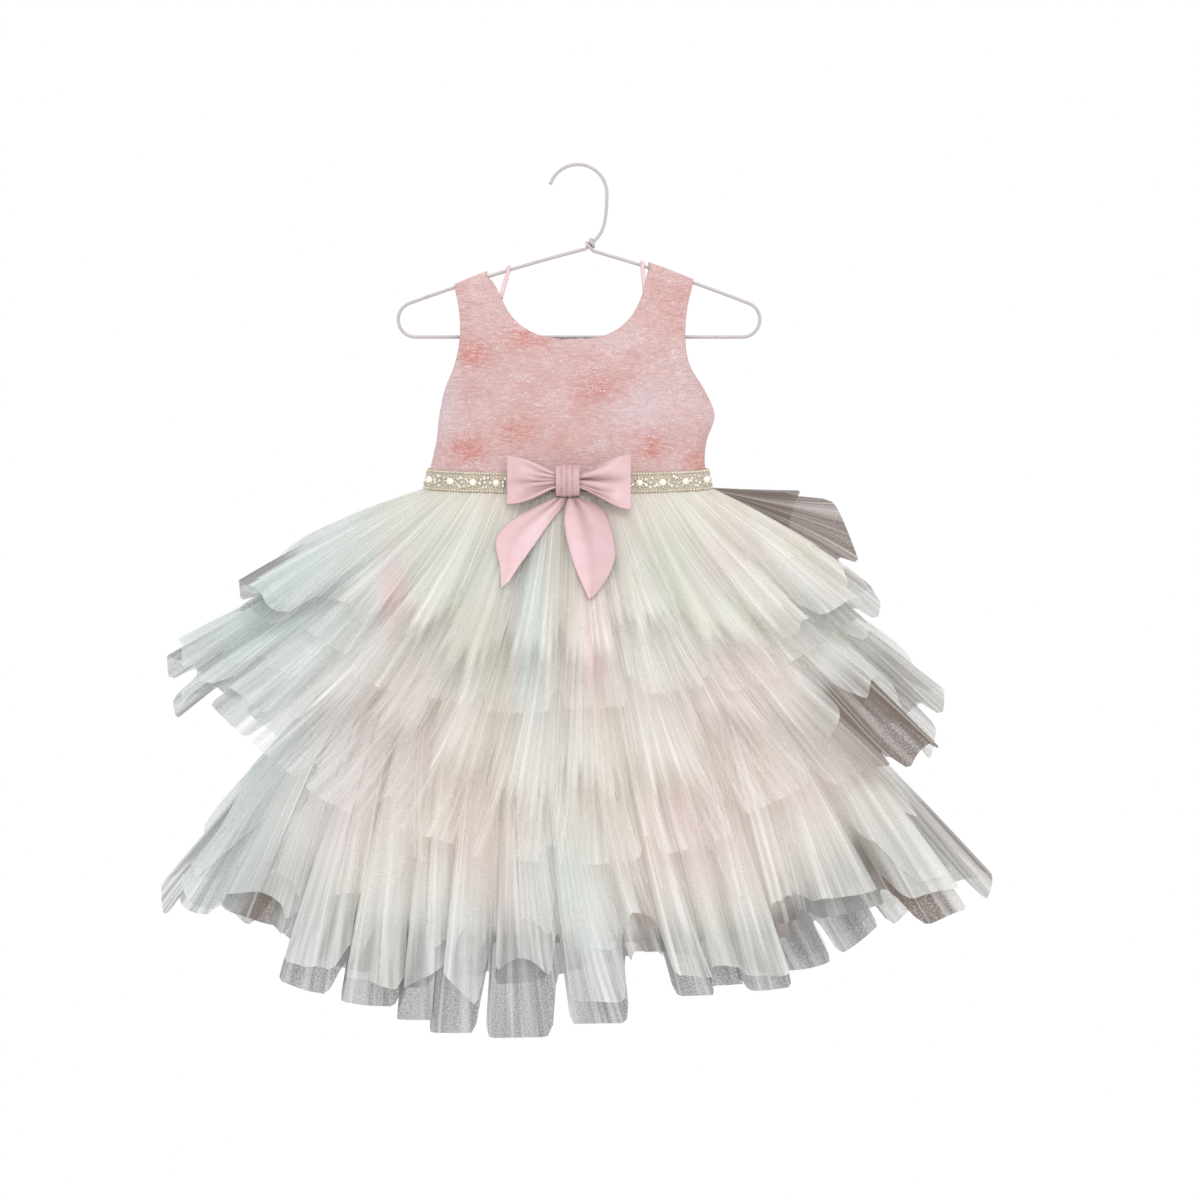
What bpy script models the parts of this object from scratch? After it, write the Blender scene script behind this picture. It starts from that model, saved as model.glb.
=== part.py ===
"""A toddler's sleeveless party dress on a wire hanger, in metres, +Z up, front facing -Y.

The origin is the underside of the hanger hook's arch, where a rod carries it. The bodice is a front
panel and two back panels, and its straps pass over the hanger's arms. A beaded band covers the waist seam,
a satin bow is sewn over it, and three fluted tiers of tulle hang from a plain underskirt.

An angle round the body is 0 at the side seam at +X, which is on the right from in front, a quarter turn
at the middle of the back (+Y), half a turn at the side seam at -X and three quarters at the middle of the
front (-Y). Left and right are as seen from in front.
"""

import math
from collections import namedtuple

import bpy
import bmesh
import numpy as np
from mathutils import Vector

# ---- driving dimensions ---------------------------------------------------------------------------
CLOTH = 0.0013            # thickness of every cloth wall
SEAM = 0.0003             # gap kept between two pieces that are sewn together
WELD = 1e-6               # two points this close are one
WIRE = 0.0028             # diameter of the coated hanger wire

NECK_X, NECK_Z = 0.0055, -0.0700      # where the hook's shank meets the two arms
HOOK_RADIUS = 0.0245                  # radius of the hook's arch at the wire's middle
HOOK_X = -0.0010                      # the arch's centre, a little left of the origin
TIP_ANGLE = 162.0                     # where the arch ends, in degrees from +X
SHANK_DROP = 0.0340                   # length of the shank's handle below the arch
SHANK_RUN, SHANK_RISE = 0.0120, 0.0110   # the way the shank leaves the neck
END_X, END_RADIUS = 0.1380, 0.0148    # centres and radius of the hanger's round ends
END_TURN = 73.0                       # where an arm leaves its round end, in degrees above level
BAR_Z = -0.1445                       # the straight lower bar
ARM_BOW = 0.0020                      # how far an arm bows up between its ends
COIL_START, COIL_TURNS = 0.0032, 1.5  # where the wire's end is wound on the shank, and how often
COIL_RUN, COIL_FORWARD = 0.0070, 0.0016   # where the wire's end leaves the right arm, and how far in front
COIL_PITCH = 0.0042       # from one turn of the wound end to the next
HOOK_STEPS, SHANK_STEPS, ARM_STEPS, END_STEPS, COIL_STEPS = 12, 9, 6, 7, 10   # COIL_STEPS are for one turn

WAIST_Z = -0.2640         # the waist seam, at the side seams
WAIST_SAG = 0.0055        # how much lower the seam hangs at the front, and higher at the back
UNDERARM_Z = -0.2000      # the top of the side seams
WIRE_ROOM_Z = -0.1650     # above this the panels stand clear of the wire
CENTRE_LOW, CENTRE_HIGH = -0.0093, -0.0040   # the panels' middle at the waist and at the neck

FRONT_NECK_Z, BACK_NECK_Z = -0.1470, -0.1600     # the lowest points of the neckline
NECK_LEFT, NECK_RIGHT = 0.0640, 0.0605           # the neckline's half widths
NECK_FLARE_LEFT, NECK_FLARE_RIGHT = 0.0097, 0.0030   # how far it opens out again at the shoulder
NECK_SQUARENESS = 0.75    # under 1 widens the neckline's round
FLARE_ONSET, SLOPE_ONSET = 6, 3   # how late up the strap the flare and the arm's slope begin
STRAP_LIFT = 0.0020       # how far the straps' inner corners stand above the wire
STRAP_ROWS = (18, 32, 45, 57, 68, 79, 90)        # degrees round the neckline's curve
SHOULDER_ROWS = (30, 60, 88)                     # degrees over the wire, up to the shoulder seam
BODY_LEVELS = (WAIST_Z, -0.2500, -0.2320, -0.2160, UNDERARM_Z, -0.1820)   # the panels' rows under the neck
HALF_COLUMNS = 8

RIBBON = 0.0035           # width of the hanger loops' ribbon
RIBBON_STEPS = 4
RIBBON_OVER = (30, 60, 90, 120, 150)             # degrees over the wire
LOOP_TUCK_Z = -0.1125     # where the ribbon's ends are sewn inside the straps

BAND_HEIGHT = 0.0170      # the waist band, centred on the seam
PEARL_RISE, PEARL_HALF, PEARL_PITCH = 0.0034, 0.0036, 0.0199
BAND_COLUMNS = 48
BAND_CLEAR = 0.7          # a plain column this share of PEARL_HALF from a pearl's is left out
PEARLS_UNDER_BOW = 1      # pearls left out on each side of the bow's middle

SKIRT_DROP = 0.3860       # the underskirt's length
SKIRT_COLUMNS, SKIRT_ROWS = 48, 5
SKIRT_SIDE_GROWTH, SKIRT_FRONT_GROWTH, SKIRT_BACK_GROWTH = 0.0720, 0.0600, 0.0380

Level = namedtuple("Level", "z left right front back")
# The bodice from the waist up: its edges at the left and right, and how far it swells to front and back.
LEVELS = (
    Level(-0.2640, -0.1276, 0.1090, 0.0330, 0.0270),
    Level(-0.2500, -0.1245, 0.1062, 0.0320, 0.0262),
    Level(-0.2320, -0.1205, 0.1080, 0.0303, 0.0250),
    Level(-0.2100, -0.1180, 0.1145, 0.0278, 0.0232),
    Level(-0.1900, -0.1135, 0.1060, 0.0245, 0.0205),
    Level(-0.1680, -0.1048, 0.0930, 0.0200, 0.0170),
    Level(-0.1450, -0.1005, 0.0897, 0.0145, 0.0125),
    Level(-0.1200, -0.1013, 0.0915, 0.0075, 0.0065),
    Level(-0.0980, -0.1052, 0.0965, 0.0000, 0.0000),
)

Tier = namedtuple("Tier", "name attach flutes rows depth tab left right left_drop right_drop "
                          "front front_drop back back_drop side_bend end_bend narrow sudden")
# Each tier: how far below the waist it is sewn on, its flutes and rows of cells, the flutes' depth at the
# hem and how much longer their crests are, the hem's reach and drop at the left, right, front and back,
# how far its profile hangs in before it stands out at the sides and at the front and back, how narrow the
# hem's raised sides are and how suddenly they end.
TIERS = (
    Tier("tier_1", 0.0088, 22, 4, 0.0085, 0.0120, 0.2780, 0.2460, 0.0800, 0.0990,
         0.1120, 0.1780, 0.0960, 0.1720, -0.05, 0.09, 2.6, 1.0),
    Tier("tier_2", 0.0400, 26, 4, 0.0085, 0.0130, 0.3370, 0.2940, 0.1430, 0.1660,
         0.1340, 0.3040, 0.1080, 0.2940, -0.02, 0.13, 2.2, 1.0),
    Tier("tier_3", 0.1100, 30, 5, 0.0100, 0.0220, 0.3390, 0.3340, 0.3240, 0.3180,
         0.1520, 0.4450, 0.1220, 0.4170, -0.01, 0.10, 7.0, 4.5),
)
CREST_PHASES = (0.44, 0.67, 0.83, 1.06)   # a flute's corners: a broad crest and a narrow trough
SEAM_PHASE = 0.25         # the middle of the crest that a side seam runs down
DEPTH_UNEVEN = 0.25       # how much one flute's depth differs from the next, as a share
GATHER = 0.85             # how soon the flutes open below the gathers
WIDTH_UNEVEN = 0.25       # how much one flute's width differs from the next, as a share
HEM_UNEVEN = 0.0090       # how much one flute's hem differs from the next

HemLift = namedtuple("HemLift", "tier angle spread share")
# Where a hem rides up: its angle and spread in degrees, and the share of its drop that it loses there, which
# is under 0 where it hangs lower. The first is a stiff flap at the back that stands out level with the waist.
HEM_LIFTS = (
    HemLift("tier_1", 30.0, 14.0, 0.95),
    HemLift("tier_1", 191.0, 5.5, -0.20),
    HemLift("tier_1", 348.0, 5.5, -0.13),
    HemLift("tier_2", 193.0, 6.5, -0.27),
    HemLift("tier_2", 347.0, 6.5, -0.30),
    HemLift("tier_3", 78.0, 14.0, 0.06),
    HemLift("tier_3", 190.0, 8.0, -0.08),
    HemLift("tier_3", 348.0, 7.0, -0.06),
)

Tab = namedtuple("Tab", "gap_x tip_z gap_z")
# The uneven tabs that a panel's hem is cut in, from its left seam: x of the gap at a tab's right, and the
# heights of the tab's end and of that gap. The last gap is the right seam.
TABS = {
    "tier_3_front": (
        Tab(-0.2940, -0.6520, -0.6220),
        Tab(-0.2470, -0.6300, -0.6280),
        Tab(-0.2050, -0.6840, -0.6600),
        Tab(-0.1490, -0.6970, -0.6780),
        Tab(-0.1220, -0.7085, -0.7045),
        Tab(-0.0830, -0.7180, -0.6690),
        Tab(-0.0130, -0.7215, -0.6700),
        Tab(0.0500, -0.7100, -0.6575),
        Tab(0.0830, -0.6560, -0.6530),
        Tab(0.1215, -0.6890, -0.6770),
        Tab(0.1450, -0.6810, -0.6760),
        Tab(0.1900, -0.6850, -0.6560),
        Tab(0.2150, -0.6330, -0.6200),
        Tab(0.2705, -0.6240, -0.6060),
        Tab(0.2985, -0.6290, -0.6040),
        Tab(0.3340, -0.6220, -0.6220),
    ),
}

BOW_Z = -0.2672           # the middle of the knot
KNOT_WIDTH, KNOT_DEPTH, KNOT_HEIGHT = 0.0200, 0.0150, 0.0270
KNOT_WAIST = 0.90         # the knot's girth at its sides, as a share of its middle
KNOT_AROUND = 16
LOOP_TUCK = 0.0030        # how far the loops' gathered ends go into the knot
LOOP_DEPTH, LOOP_PINCH = 0.0062, 0.0018   # half the loops' fullness, out in the loop and at the knot
LOOP_LEAN = 14.0          # how quickly the loops lean forward over the skirt, per metre
PUCKER, PUCKERS = 0.0006, 3               # depth and number of the gathers beside the knot
LOOP_AROUND, LOOP_ACROSS = 12, 6

Loop = namedtuple("Loop", "name side reach top bottom knot_top knot_bottom")
# Each loop: its side, its reach from the knot's middle, and its edges' heights at its end and at the knot.
LOOPS = (
    Loop("bow_loop_left", -1, 0.0500, -0.2462, -0.2868, -0.2610, -0.2728),
    Loop("bow_loop_right", 1, 0.0520, -0.2452, -0.2912, -0.2610, -0.2728),
)

TailRow = namedtuple("TailRow", "left_x left_z right_x right_z")
# Each tail from under the knot to its slanting end: its left and right edges.
TAILS = {
    "bow_tail_left": (
        TailRow(-0.0200, -0.2812, -0.0108, -0.2815),
        TailRow(-0.0420, -0.2920, -0.0150, -0.2900),
        TailRow(-0.0580, -0.3020, -0.0210, -0.2980),
        TailRow(-0.0680, -0.3140, -0.0290, -0.3090),
        TailRow(-0.0690, -0.3240, -0.0370, -0.3210),
        TailRow(-0.0655, -0.3390, -0.0470, -0.3350),
        TailRow(-0.0640, -0.3570, -0.0585, -0.3520),
    ),
    "bow_tail_right": (
        TailRow(-0.0088, -0.2815, 0.0010, -0.2815),
        TailRow(-0.0115, -0.2930, 0.0190, -0.2900),
        TailRow(-0.0118, -0.3060, 0.0255, -0.3030),
        TailRow(-0.0085, -0.3220, 0.0295, -0.3190),
        TailRow(-0.0030, -0.3400, 0.0300, -0.3330),
        TailRow(0.0030, -0.3540, 0.0230, -0.3500),
        TailRow(0.0085, -0.3660, 0.0115, -0.3650),
    ),
}
TAIL_COLUMNS = 6
TAIL_CLEARANCE = 0.0020   # from a tail's face to the crests of the tier under it
TAIL_FOLD = 0.0030        # how far a tail's middle stands out
TAIL_SETTLE = 3.0         # how soon below the knot a tail lies on the tier

BLUSH = (0.80, 0.52, 0.50)
SATIN = (0.86, 0.60, 0.62)
LINING = (0.86, 0.66, 0.66)
TULLE = (0.88, 0.86, 0.80)
PEARL = (0.86, 0.80, 0.68)
COATING = (0.86, 0.76, 0.77)


# ---- materials ------------------------------------------------------------------------------------
def material(name, colour, roughness, metallic=0.0):
    """A plain Principled material."""
    made = bpy.data.materials.new(name)
    made.use_nodes = True
    shader = made.node_tree.nodes["Principled BSDF"]
    shader.inputs["Base Color"].default_value = (*colour, 1.0)
    shader.inputs["Roughness"].default_value = roughness
    shader.inputs["Metallic"].default_value = metallic
    return made


# ---- sums that the pieces share -------------------------------------------------------------------
def blend(a, b, share):
    """The value a share of the way from a to b."""
    return a + (b - a) * share


def eased(share):
    """A share from 0 to 1 that starts and ends gently."""
    share = min(max(share, 0.0), 1.0)
    return share * share * (3 - 2 * share)


def irregular(number, salt):
    """An uneven value from -1 to 1 that is always the same for the same number and salt."""
    return 2 * (math.sin(12.9898 * number + 4.1414 * salt) * 43758.5453 % 1.0) - 1


def curve_through(z, column):
    """A smooth value of a column of LEVELS at height z: a cubic through its rows, flat past its ends."""
    rows = LEVELS
    if z <= rows[0].z:
        return getattr(rows[0], column)
    if z >= rows[-1].z:
        return getattr(rows[-1], column)
    k = max(i for i, row in enumerate(rows[:-1]) if row.z <= z)
    here, after = rows[k], rows[k + 1]
    span = after.z - here.z

    def slope(i):
        low, high = rows[max(i - 1, 0)], rows[min(i + 1, len(rows) - 1)]
        return (getattr(high, column) - getattr(low, column)) / (high.z - low.z)

    t = (z - here.z) / span
    return (
        (2 * t**3 - 3 * t**2 + 1) * getattr(here, column)
        + (t**3 - 2 * t**2 + t) * span * slope(k)
        + (3 * t**2 - 2 * t**3) * getattr(after, column)
        + (t**3 - t**2) * span * slope(k + 1)
    )


def angles_along(point_at, first, last, samples=400):
    """Angles and the lengths at which a curve reaches them, for reading one from the other."""
    angles = np.linspace(first, last, samples + 1)
    points = np.array([point_at(angle) for angle in angles])
    steps = np.linalg.norm(np.diff(points, axis=0), axis=1)
    return angles, np.concatenate([[0.0], np.cumsum(steps)])


# ---- meshes ---------------------------------------------------------------------------------------
def cloth_object(name, grids, look, inside, seams=()):
    """A cloth wall of thickness CLOTH from one or more grids of outer points.

    The grids are welded where they meet, and their cells are halved, so that both sides of the wall bend
    along the same lines. The wall's faces point away from the point inside, and its thickness goes the other
    way. seams lists (axis, position) planes: an edge that lies on one is cut square to it, so that the next
    piece can meet it.
    """
    shape = bmesh.new()
    for grid in grids:
        corners = [[shape.verts.new(p) for p in row] for row in grid]
        for low, high in zip(corners, corners[1:]):
            for a, b, c, d in zip(low, low[1:], high[1:], high):
                shape.faces.new((a, b, c, d))
    bmesh.ops.remove_doubles(shape, verts=shape.verts, dist=WELD)
    bmesh.ops.triangulate(shape, faces=shape.faces, quad_method="SHORT_EDGE")
    bmesh.ops.recalc_face_normals(shape, faces=shape.faces)
    if sum(f.normal.dot(f.calc_center_median() - inside) * f.calc_area() for f in shape.faces) < 0:
        bmesh.ops.reverse_faces(shape, faces=shape.faces)
        shape.normal_update()
    rims = [edge for edge in shape.edges if edge.is_boundary]
    faces = list(shape.faces)
    lining = {}
    for vert in list(shape.verts):
        inwards = -vert.normal
        for axis, position in seams:
            if vert.is_boundary and abs(vert.co[axis] - position) < SEAM:
                inwards[axis] = 0.0
        lining[vert] = vert.co + inwards.normalized() * CLOTH
    lining = {vert: shape.verts.new(place) for vert, place in lining.items()}
    for edge in rims:
        start, end = edge.link_loops[0].vert, edge.link_loops[0].link_loop_next.vert
        shape.faces.new((end, start, lining[start], lining[end]))
    for face in faces:
        shape.faces.new([lining[vert] for vert in reversed(face.verts)])
    mesh = bpy.data.meshes.new(name)
    shape.to_mesh(mesh)
    shape.free()
    mesh.materials.append(look)
    mesh.shade_smooth()
    made = bpy.data.objects.new(name, mesh)
    bpy.context.scene.collection.objects.link(made)
    return made


# ---- the hanger -----------------------------------------------------------------------------------
def arm_end():
    """Where an arm meets its round end: the distance from the middle and the height."""
    turn = math.radians(END_TURN)
    return END_X + END_RADIUS * math.cos(turn), BAR_Z + END_RADIUS * (1 + math.sin(turn))


def arm_z(x):
    """Height of the middle of the hanger's arm at x: a straight slope, bowed up by ARM_BOW."""
    tangent_x, tangent_z = arm_end()
    reach = tangent_x + NECK_X if x < NECK_X else tangent_x - NECK_X
    share = min(abs(x - NECK_X) / reach, 1.0)
    return blend(NECK_Z, tangent_z, share) + ARM_BOW * 4 * share * (1 - share)


def arc(centre, radius, first, last, steps):
    """Points of an arc in the XZ plane, from one angle to another, in degrees from +X."""
    angles = [math.radians(blend(first, last, i / steps)) for i in range(steps + 1)]
    return [
        Vector((centre[0] + radius * math.cos(a), 0.0, centre[1] + radius * math.sin(a))) for a in angles
    ]


def shank_points(side, neck):
    """The shank's middle between the hook's arch and the neck: a cubic that leaves each along its line."""
    handle_low = side - Vector((0.0, 0.0, SHANK_DROP))
    handle_high = neck + Vector((SHANK_RUN, 0.0, SHANK_RISE))
    points = []
    for i in range(1, SHANK_STEPS):
        t = i / SHANK_STEPS
        points.append(side * (1 - t)**3 + handle_low * 3 * t * (1 - t)**2
                      + handle_high * 3 * t * t * (1 - t) + neck * t**3)
    return points


def coil_points(neck):
    """The wire's end: past the front of the neck and COIL_TURNS round the shank."""
    up = Vector((SHANK_RUN, 0.0, SHANK_RISE)).normalized()
    out, behind = Vector((up.z, 0.0, -up.x)), Vector((0.0, 1.0, 0.0))
    radius = WIRE + SEAM
    points = [Vector((NECK_X + COIL_RUN, -COIL_FORWARD, arm_z(NECK_X + COIL_RUN)))]
    for i in range(int(COIL_TURNS * COIL_STEPS) + 1):
        turned = 2 * math.pi * i / COIL_STEPS
        angle = math.pi / 2 + turned
        points.append(neck + up * (COIL_START + COIL_PITCH * turned / (2 * math.pi))
                      + (out * math.cos(angle) - behind * math.sin(angle)) * radius)
    return points


def wire_route():
    """The wire's middle from the hook's tip, round the hanger, to its end wound on the shank."""
    hook = arc((HOOK_X, WIRE / 2 - HOOK_RADIUS), HOOK_RADIUS, TIP_ANGLE, 0.0, HOOK_STEPS)
    neck = Vector((NECK_X, 0.0, NECK_Z))
    tangent_x, _ = arm_end()
    left_arm = [blend(NECK_X, -tangent_x, i / ARM_STEPS) for i in range(1, ARM_STEPS)]
    right_arm = [blend(tangent_x, NECK_X, i / ARM_STEPS) for i in range(1, ARM_STEPS)]
    ends_z = BAR_Z + END_RADIUS
    return (
        hook + shank_points(hook[-1], neck) + [neck]
        + [Vector((x, 0.0, arm_z(x))) for x in left_arm]
        + arc((-END_X, ends_z), END_RADIUS, 180.0 - END_TURN, 270.0, END_STEPS)
        + arc((END_X, ends_z), END_RADIUS, -90.0, END_TURN, END_STEPS)
        + [Vector((x, 0.0, arm_z(x))) for x in right_arm]
        + coil_points(neck)
    )


def make_hanger(look):
    """The hanger: one wire bent to a hook, two arms and a bar, swept as a tube."""
    curve = bpy.data.curves.new("hanger_wire", "CURVE")
    curve.dimensions = "3D"
    curve.bevel_depth = WIRE / 2
    curve.bevel_resolution = 2
    curve.use_fill_caps = True
    route = wire_route()
    spline = curve.splines.new("POLY")
    spline.points.add(len(route) - 1)
    for point, place in zip(spline.points, route):
        point.co = (*place, 1.0)
    curve.materials.append(look)
    made = bpy.data.objects.new("hanger_wire", curve)
    bpy.context.scene.collection.objects.link(made)


# ---- the bodice -----------------------------------------------------------------------------------
def centre_x(z):
    """The panels' middle at height z."""
    share = min(max((z - WAIST_Z) / (FRONT_NECK_Z - WAIST_Z), 0.0), 1.0)
    return blend(CENTRE_LOW, CENTRE_HIGH, share)


def wire_clearance(z):
    """How far the panels' outer face stays off the hanger's plane: clear of the wire above WIRE_ROOM_Z."""
    over_wire = WIRE / 2 + SEAM + CLOTH
    return blend(SEAM / 2, over_wire, eased((z - UNDERARM_Z) / (WIRE_ROOM_Z - UNDERARM_Z)))


def half_width(level, side):
    """The signed distance from the panels' middle to where their curve would reach the side seam."""
    edge = curve_through(min(level, UNDERARM_Z), "left" if side < 0 else "right")
    return edge - centre_x(level)


def body_point(x, z, level, facing):
    """A point of the bodice's outer face. level is the height its swell is read at, facing -1 or 1."""
    middle = centre_x(level)
    share = min((x - middle) / half_width(level, x - middle), 1.0)
    round_off = math.sqrt(1 - share * share)
    swell = curve_through(level, "front" if facing < 0 else "back")
    sag = WAIST_SAG * round_off * min(max((UNDERARM_Z - level) / (UNDERARM_Z - WAIST_Z), 0.0), 1.0)
    return Vector((x, facing * (wire_clearance(level) + swell * round_off), z + facing * sag))


def spread_columns(x_in, x_out, level):
    """x of each column from the inner to the outer edge, closer together where the panel turns away."""
    middle = centre_x(level)
    span = half_width(level, x_out - middle)
    low = math.asin(min((x_in - middle) / span, 1.0))
    high = math.asin(min((x_out - middle) / span, 1.0))
    return [middle + span * math.sin(blend(low, high, c / HALF_COLUMNS)) for c in range(HALF_COLUMNS + 1)]


def shoulder_row(facing, angle, inner, outer):
    """A row of a strap's points at an angle over the wire."""
    radius = WIRE / 2 + SEAM + CLOTH
    turn = math.radians(angle)
    row = []
    for c, x in enumerate(spread_columns(inner, outer, LEVELS[-1].z)):
        lift = STRAP_LIFT * (1 - c / HALF_COLUMNS)
        y = facing * (SEAM / 2 if angle == SHOULDER_ROWS[-1] else radius * math.cos(turn))
        row.append(Vector((x, y, arm_z(x) + (radius + lift) * math.sin(turn))))
    return row


def neck_side(side):
    """The column of LEVELS, the neckline's half width and its flare on one side."""
    if side < 0:
        return "left", NECK_LEFT, NECK_FLARE_LEFT
    return "right", NECK_RIGHT, NECK_FLARE_RIGHT


def strap_row(side, facing, angle, neck_z, top_inner):
    """A row of points from the neckline to the armhole, at an angle round the neckline's curve."""
    edge, half_neck, flare = neck_side(side)
    inner_rise = arm_z(top_inner) - neck_z
    outer_rise = arm_z(curve_through(LEVELS[-1].z, edge)) - neck_z
    turn = math.radians(angle)
    share = 1 - math.cos(turn)
    half_opening = half_neck * math.sin(turn)**NECK_SQUARENESS + flare * share**FLARE_ONSET
    x_in = centre_x(neck_z) + side * half_opening
    level = blend(neck_z, LEVELS[-1].z, share)
    row = []
    for c, x in enumerate(spread_columns(x_in, curve_through(level, edge), level)):
        level_z = neck_z + share * blend(inner_rise, outer_rise, c / HALF_COLUMNS)
        along_arm = neck_z + share * (arm_z(x) - neck_z)
        row.append(body_point(x, blend(level_z, along_arm, share**SLOPE_ONSET), level, facing))
    return row


def panel_grid(side, facing, neck_z, middle_at, body_levels):
    """Rows of outer points of half a panel, from the waist to the shoulder seam, inner edge first."""
    edge, half_neck, flare = neck_side(side)
    rows = [
        [body_point(x, z, z, facing) for x in spread_columns(middle_at(z), curve_through(z, edge), z)]
        for z in body_levels
    ]
    top_inner = centre_x(neck_z) + side * (half_neck + flare)
    top_outer = curve_through(LEVELS[-1].z, edge)
    rows += [strap_row(side, facing, angle, neck_z, top_inner) for angle in STRAP_ROWS]
    rows += [shoulder_row(facing, angle, top_inner, top_outer) for angle in SHOULDER_ROWS]
    return rows


def make_bodice(look):
    """The front panel, and the two back panels that meet at the middle of the back."""
    inside = Vector((CENTRE_LOW, 0.0, UNDERARM_Z))
    front_levels = (*BODY_LEVELS, WIRE_ROOM_Z, FRONT_NECK_Z)
    halves = [panel_grid(side, -1, FRONT_NECK_Z, centre_x, front_levels) for side in (-1, 1)]
    cloth_object("bodice_front", halves, look, inside, seams=((1, 0.0),))
    for name, side in (("bodice_back_left", -1), ("bodice_back_right", 1)):
        edge = CENTRE_LOW + side * SEAM / 2
        grid = panel_grid(side, 1, BACK_NECK_Z, lambda z: edge, (*BODY_LEVELS, BACK_NECK_Z))
        cloth_object(name, [grid], look, inside, seams=((1, 0.0), (0, CENTRE_LOW)))


def hanger_loop_edge(x_low, x_top):
    """One edge of a hanger loop: up from inside the strap's front, over the wire, and down to its back."""
    radius = WIRE / 2 + SEAM + CLOTH
    rising = []
    for facing in (-1, 1):
        strap = abs(body_point(x_low, LOOP_TUCK_Z, LOOP_TUCK_Z, facing).y)
        sewn = Vector((x_low, facing * (strap - CLOTH - SEAM), LOOP_TUCK_Z))
        beside = Vector((x_top, facing * radius, arm_z(x_top)))
        rising.append([sewn.lerp(beside, k / RIBBON_STEPS) for k in range(RIBBON_STEPS + 1)])
    turns = [math.radians(angle) for angle in RIBBON_OVER]
    over = [Vector((x_top, -radius * math.cos(a), arm_z(x_top) + radius * math.sin(a))) for a in turns]
    return rising[0] + over + rising[1][::-1]


def make_hanger_loop(name, x_low, x_top, look):
    """A ribbon sewn inside a strap's neck edge, front and back, that goes over the hanger's arm."""
    edges = [hanger_loop_edge(x_low + offset, x_top + offset) for offset in (-RIBBON / 2, RIBBON / 2)]
    cloth_object(name, [list(zip(*edges))], look, Vector((x_top, 0.0, LOOP_TUCK_Z)))


# ---- the skirt ------------------------------------------------------------------------------------
def around(angle):
    """Cosine, sine, and the side's and the face's signs of an angle round the body."""
    c, s = math.cos(angle), math.sin(angle)
    return c, s, (-1 if c < 0 else 1), (-1 if s < 0 else 1)


def waist_point(angle, drop):
    """A point of the outer face at a drop below the waist seam: the bodice above it, the underskirt below."""
    c, s, side, facing = around(angle)
    level = WAIST_Z - min(drop, 0.0)
    share = max(drop, 0.0) / SKIRT_DROP
    width = abs(half_width(level, side)) + SKIRT_SIDE_GROWTH * share
    growth = SKIRT_FRONT_GROWTH if facing < 0 else SKIRT_BACK_GROWTH
    depth = curve_through(level, "front" if facing < 0 else "back") + growth * share
    sag = WAIST_SAG * abs(s) * (1 - share) * min((UNDERARM_Z - level) / (UNDERARM_Z - WAIST_Z), 1.0)
    return Vector((centre_x(level) + width * c, facing * SEAM / 2 + depth * s, WAIST_Z - drop + facing * sag))


def moved_out(angle, drop, distance):
    """A point over waist_point's, level with it, moved out by a distance."""
    near = 1e-4
    along = waist_point(angle + near, drop) - waist_point(angle - near, drop)
    outwards = Vector((along.y, -along.x, 0.0)).normalized()
    return waist_point(angle, drop) + outwards * distance


def make_underskirt(look):
    """The plain skirt that the tiers are sewn to, from the waist seam down."""
    rows = []
    for r in range(SKIRT_ROWS + 1):
        drop = SEAM + (SKIRT_DROP - SEAM) * r / SKIRT_ROWS
        rows.append([waist_point(2 * math.pi * (c % SKIRT_COLUMNS) / SKIRT_COLUMNS, drop)
                     for c in range(SKIRT_COLUMNS + 1)])
    cloth_object("underskirt", [rows], look, Vector((CENTRE_LOW, 0.0, WAIST_Z - SKIRT_DROP / 2)))


def hem_point(tier, angle):
    """The mean hem of a tier at an angle: two half ellipses in plan, higher at the sides."""
    c, s, side, facing = around(angle)
    half = (tier.left + tier.right) / 2
    side_drop = tier.left_drop if side < 0 else tier.right_drop
    end_drop = tier.front_drop if facing < 0 else tier.back_drop
    drop = blend(end_drop, side_drop, 1 - (1 - abs(c)**tier.narrow)**tier.sudden)
    for lift in HEM_LIFTS:
        if lift.tier == tier.name:
            away = (math.degrees(angle) - lift.angle + 180) % 360 - 180
            drop *= 1 - lift.share * math.exp(-(away / lift.spread)**2)
    reach = tier.front if facing < 0 else tier.back
    return Vector(((tier.right - tier.left) / 2 + half * c, reach * s, WAIST_Z - drop))


def tier_point(tier, angle, t):
    """A point of a tier's surface without its flutes: a bent profile from its seam, t = 0, to its hem, 1."""
    start, end = moved_out(angle, tier.attach, SEAM + CLOTH), hem_point(tier, angle)
    bend = blend(tier.end_bend, tier.side_bend, math.cos(angle)**2)
    way = end - start
    handle = start + Vector((way.x * (0.5 - bend), way.y * (0.5 - bend), way.z * (0.5 + bend)))
    return start * (1 - t)**2 + handle * 2 * t * (1 - t) + end * t * t


def tier_normal(tier, angle, t):
    """The upward and outward normal of a tier's surface."""
    near = 1e-3
    round_it = tier_point(tier, angle + near, t) - tier_point(tier, angle - near, t)
    down_it = tier_point(tier, angle, t + near) - tier_point(tier, angle, t - near)
    return down_it.cross(round_it).normalized()


def flute_corners(flutes):
    """(place, crest, flute) of each corner across a panel, from seam to seam.

    place counts the crests, the first of which is the first seam. crest is 1 on a crest and -1 in a trough.
    flute is the crest that the corner is on, or the crest after its trough.
    """
    corners = [(SEAM_PHASE, 1)]
    for flute in range(flutes):
        corners += [(flute + phase, 1 if k in (0, 3) else -1) for k, phase in enumerate(CREST_PHASES)]
    corners.append((flutes + SEAM_PHASE, 1))
    return [(place - SEAM_PHASE, crest, int(place + 0.5)) for place, crest in corners]


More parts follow.
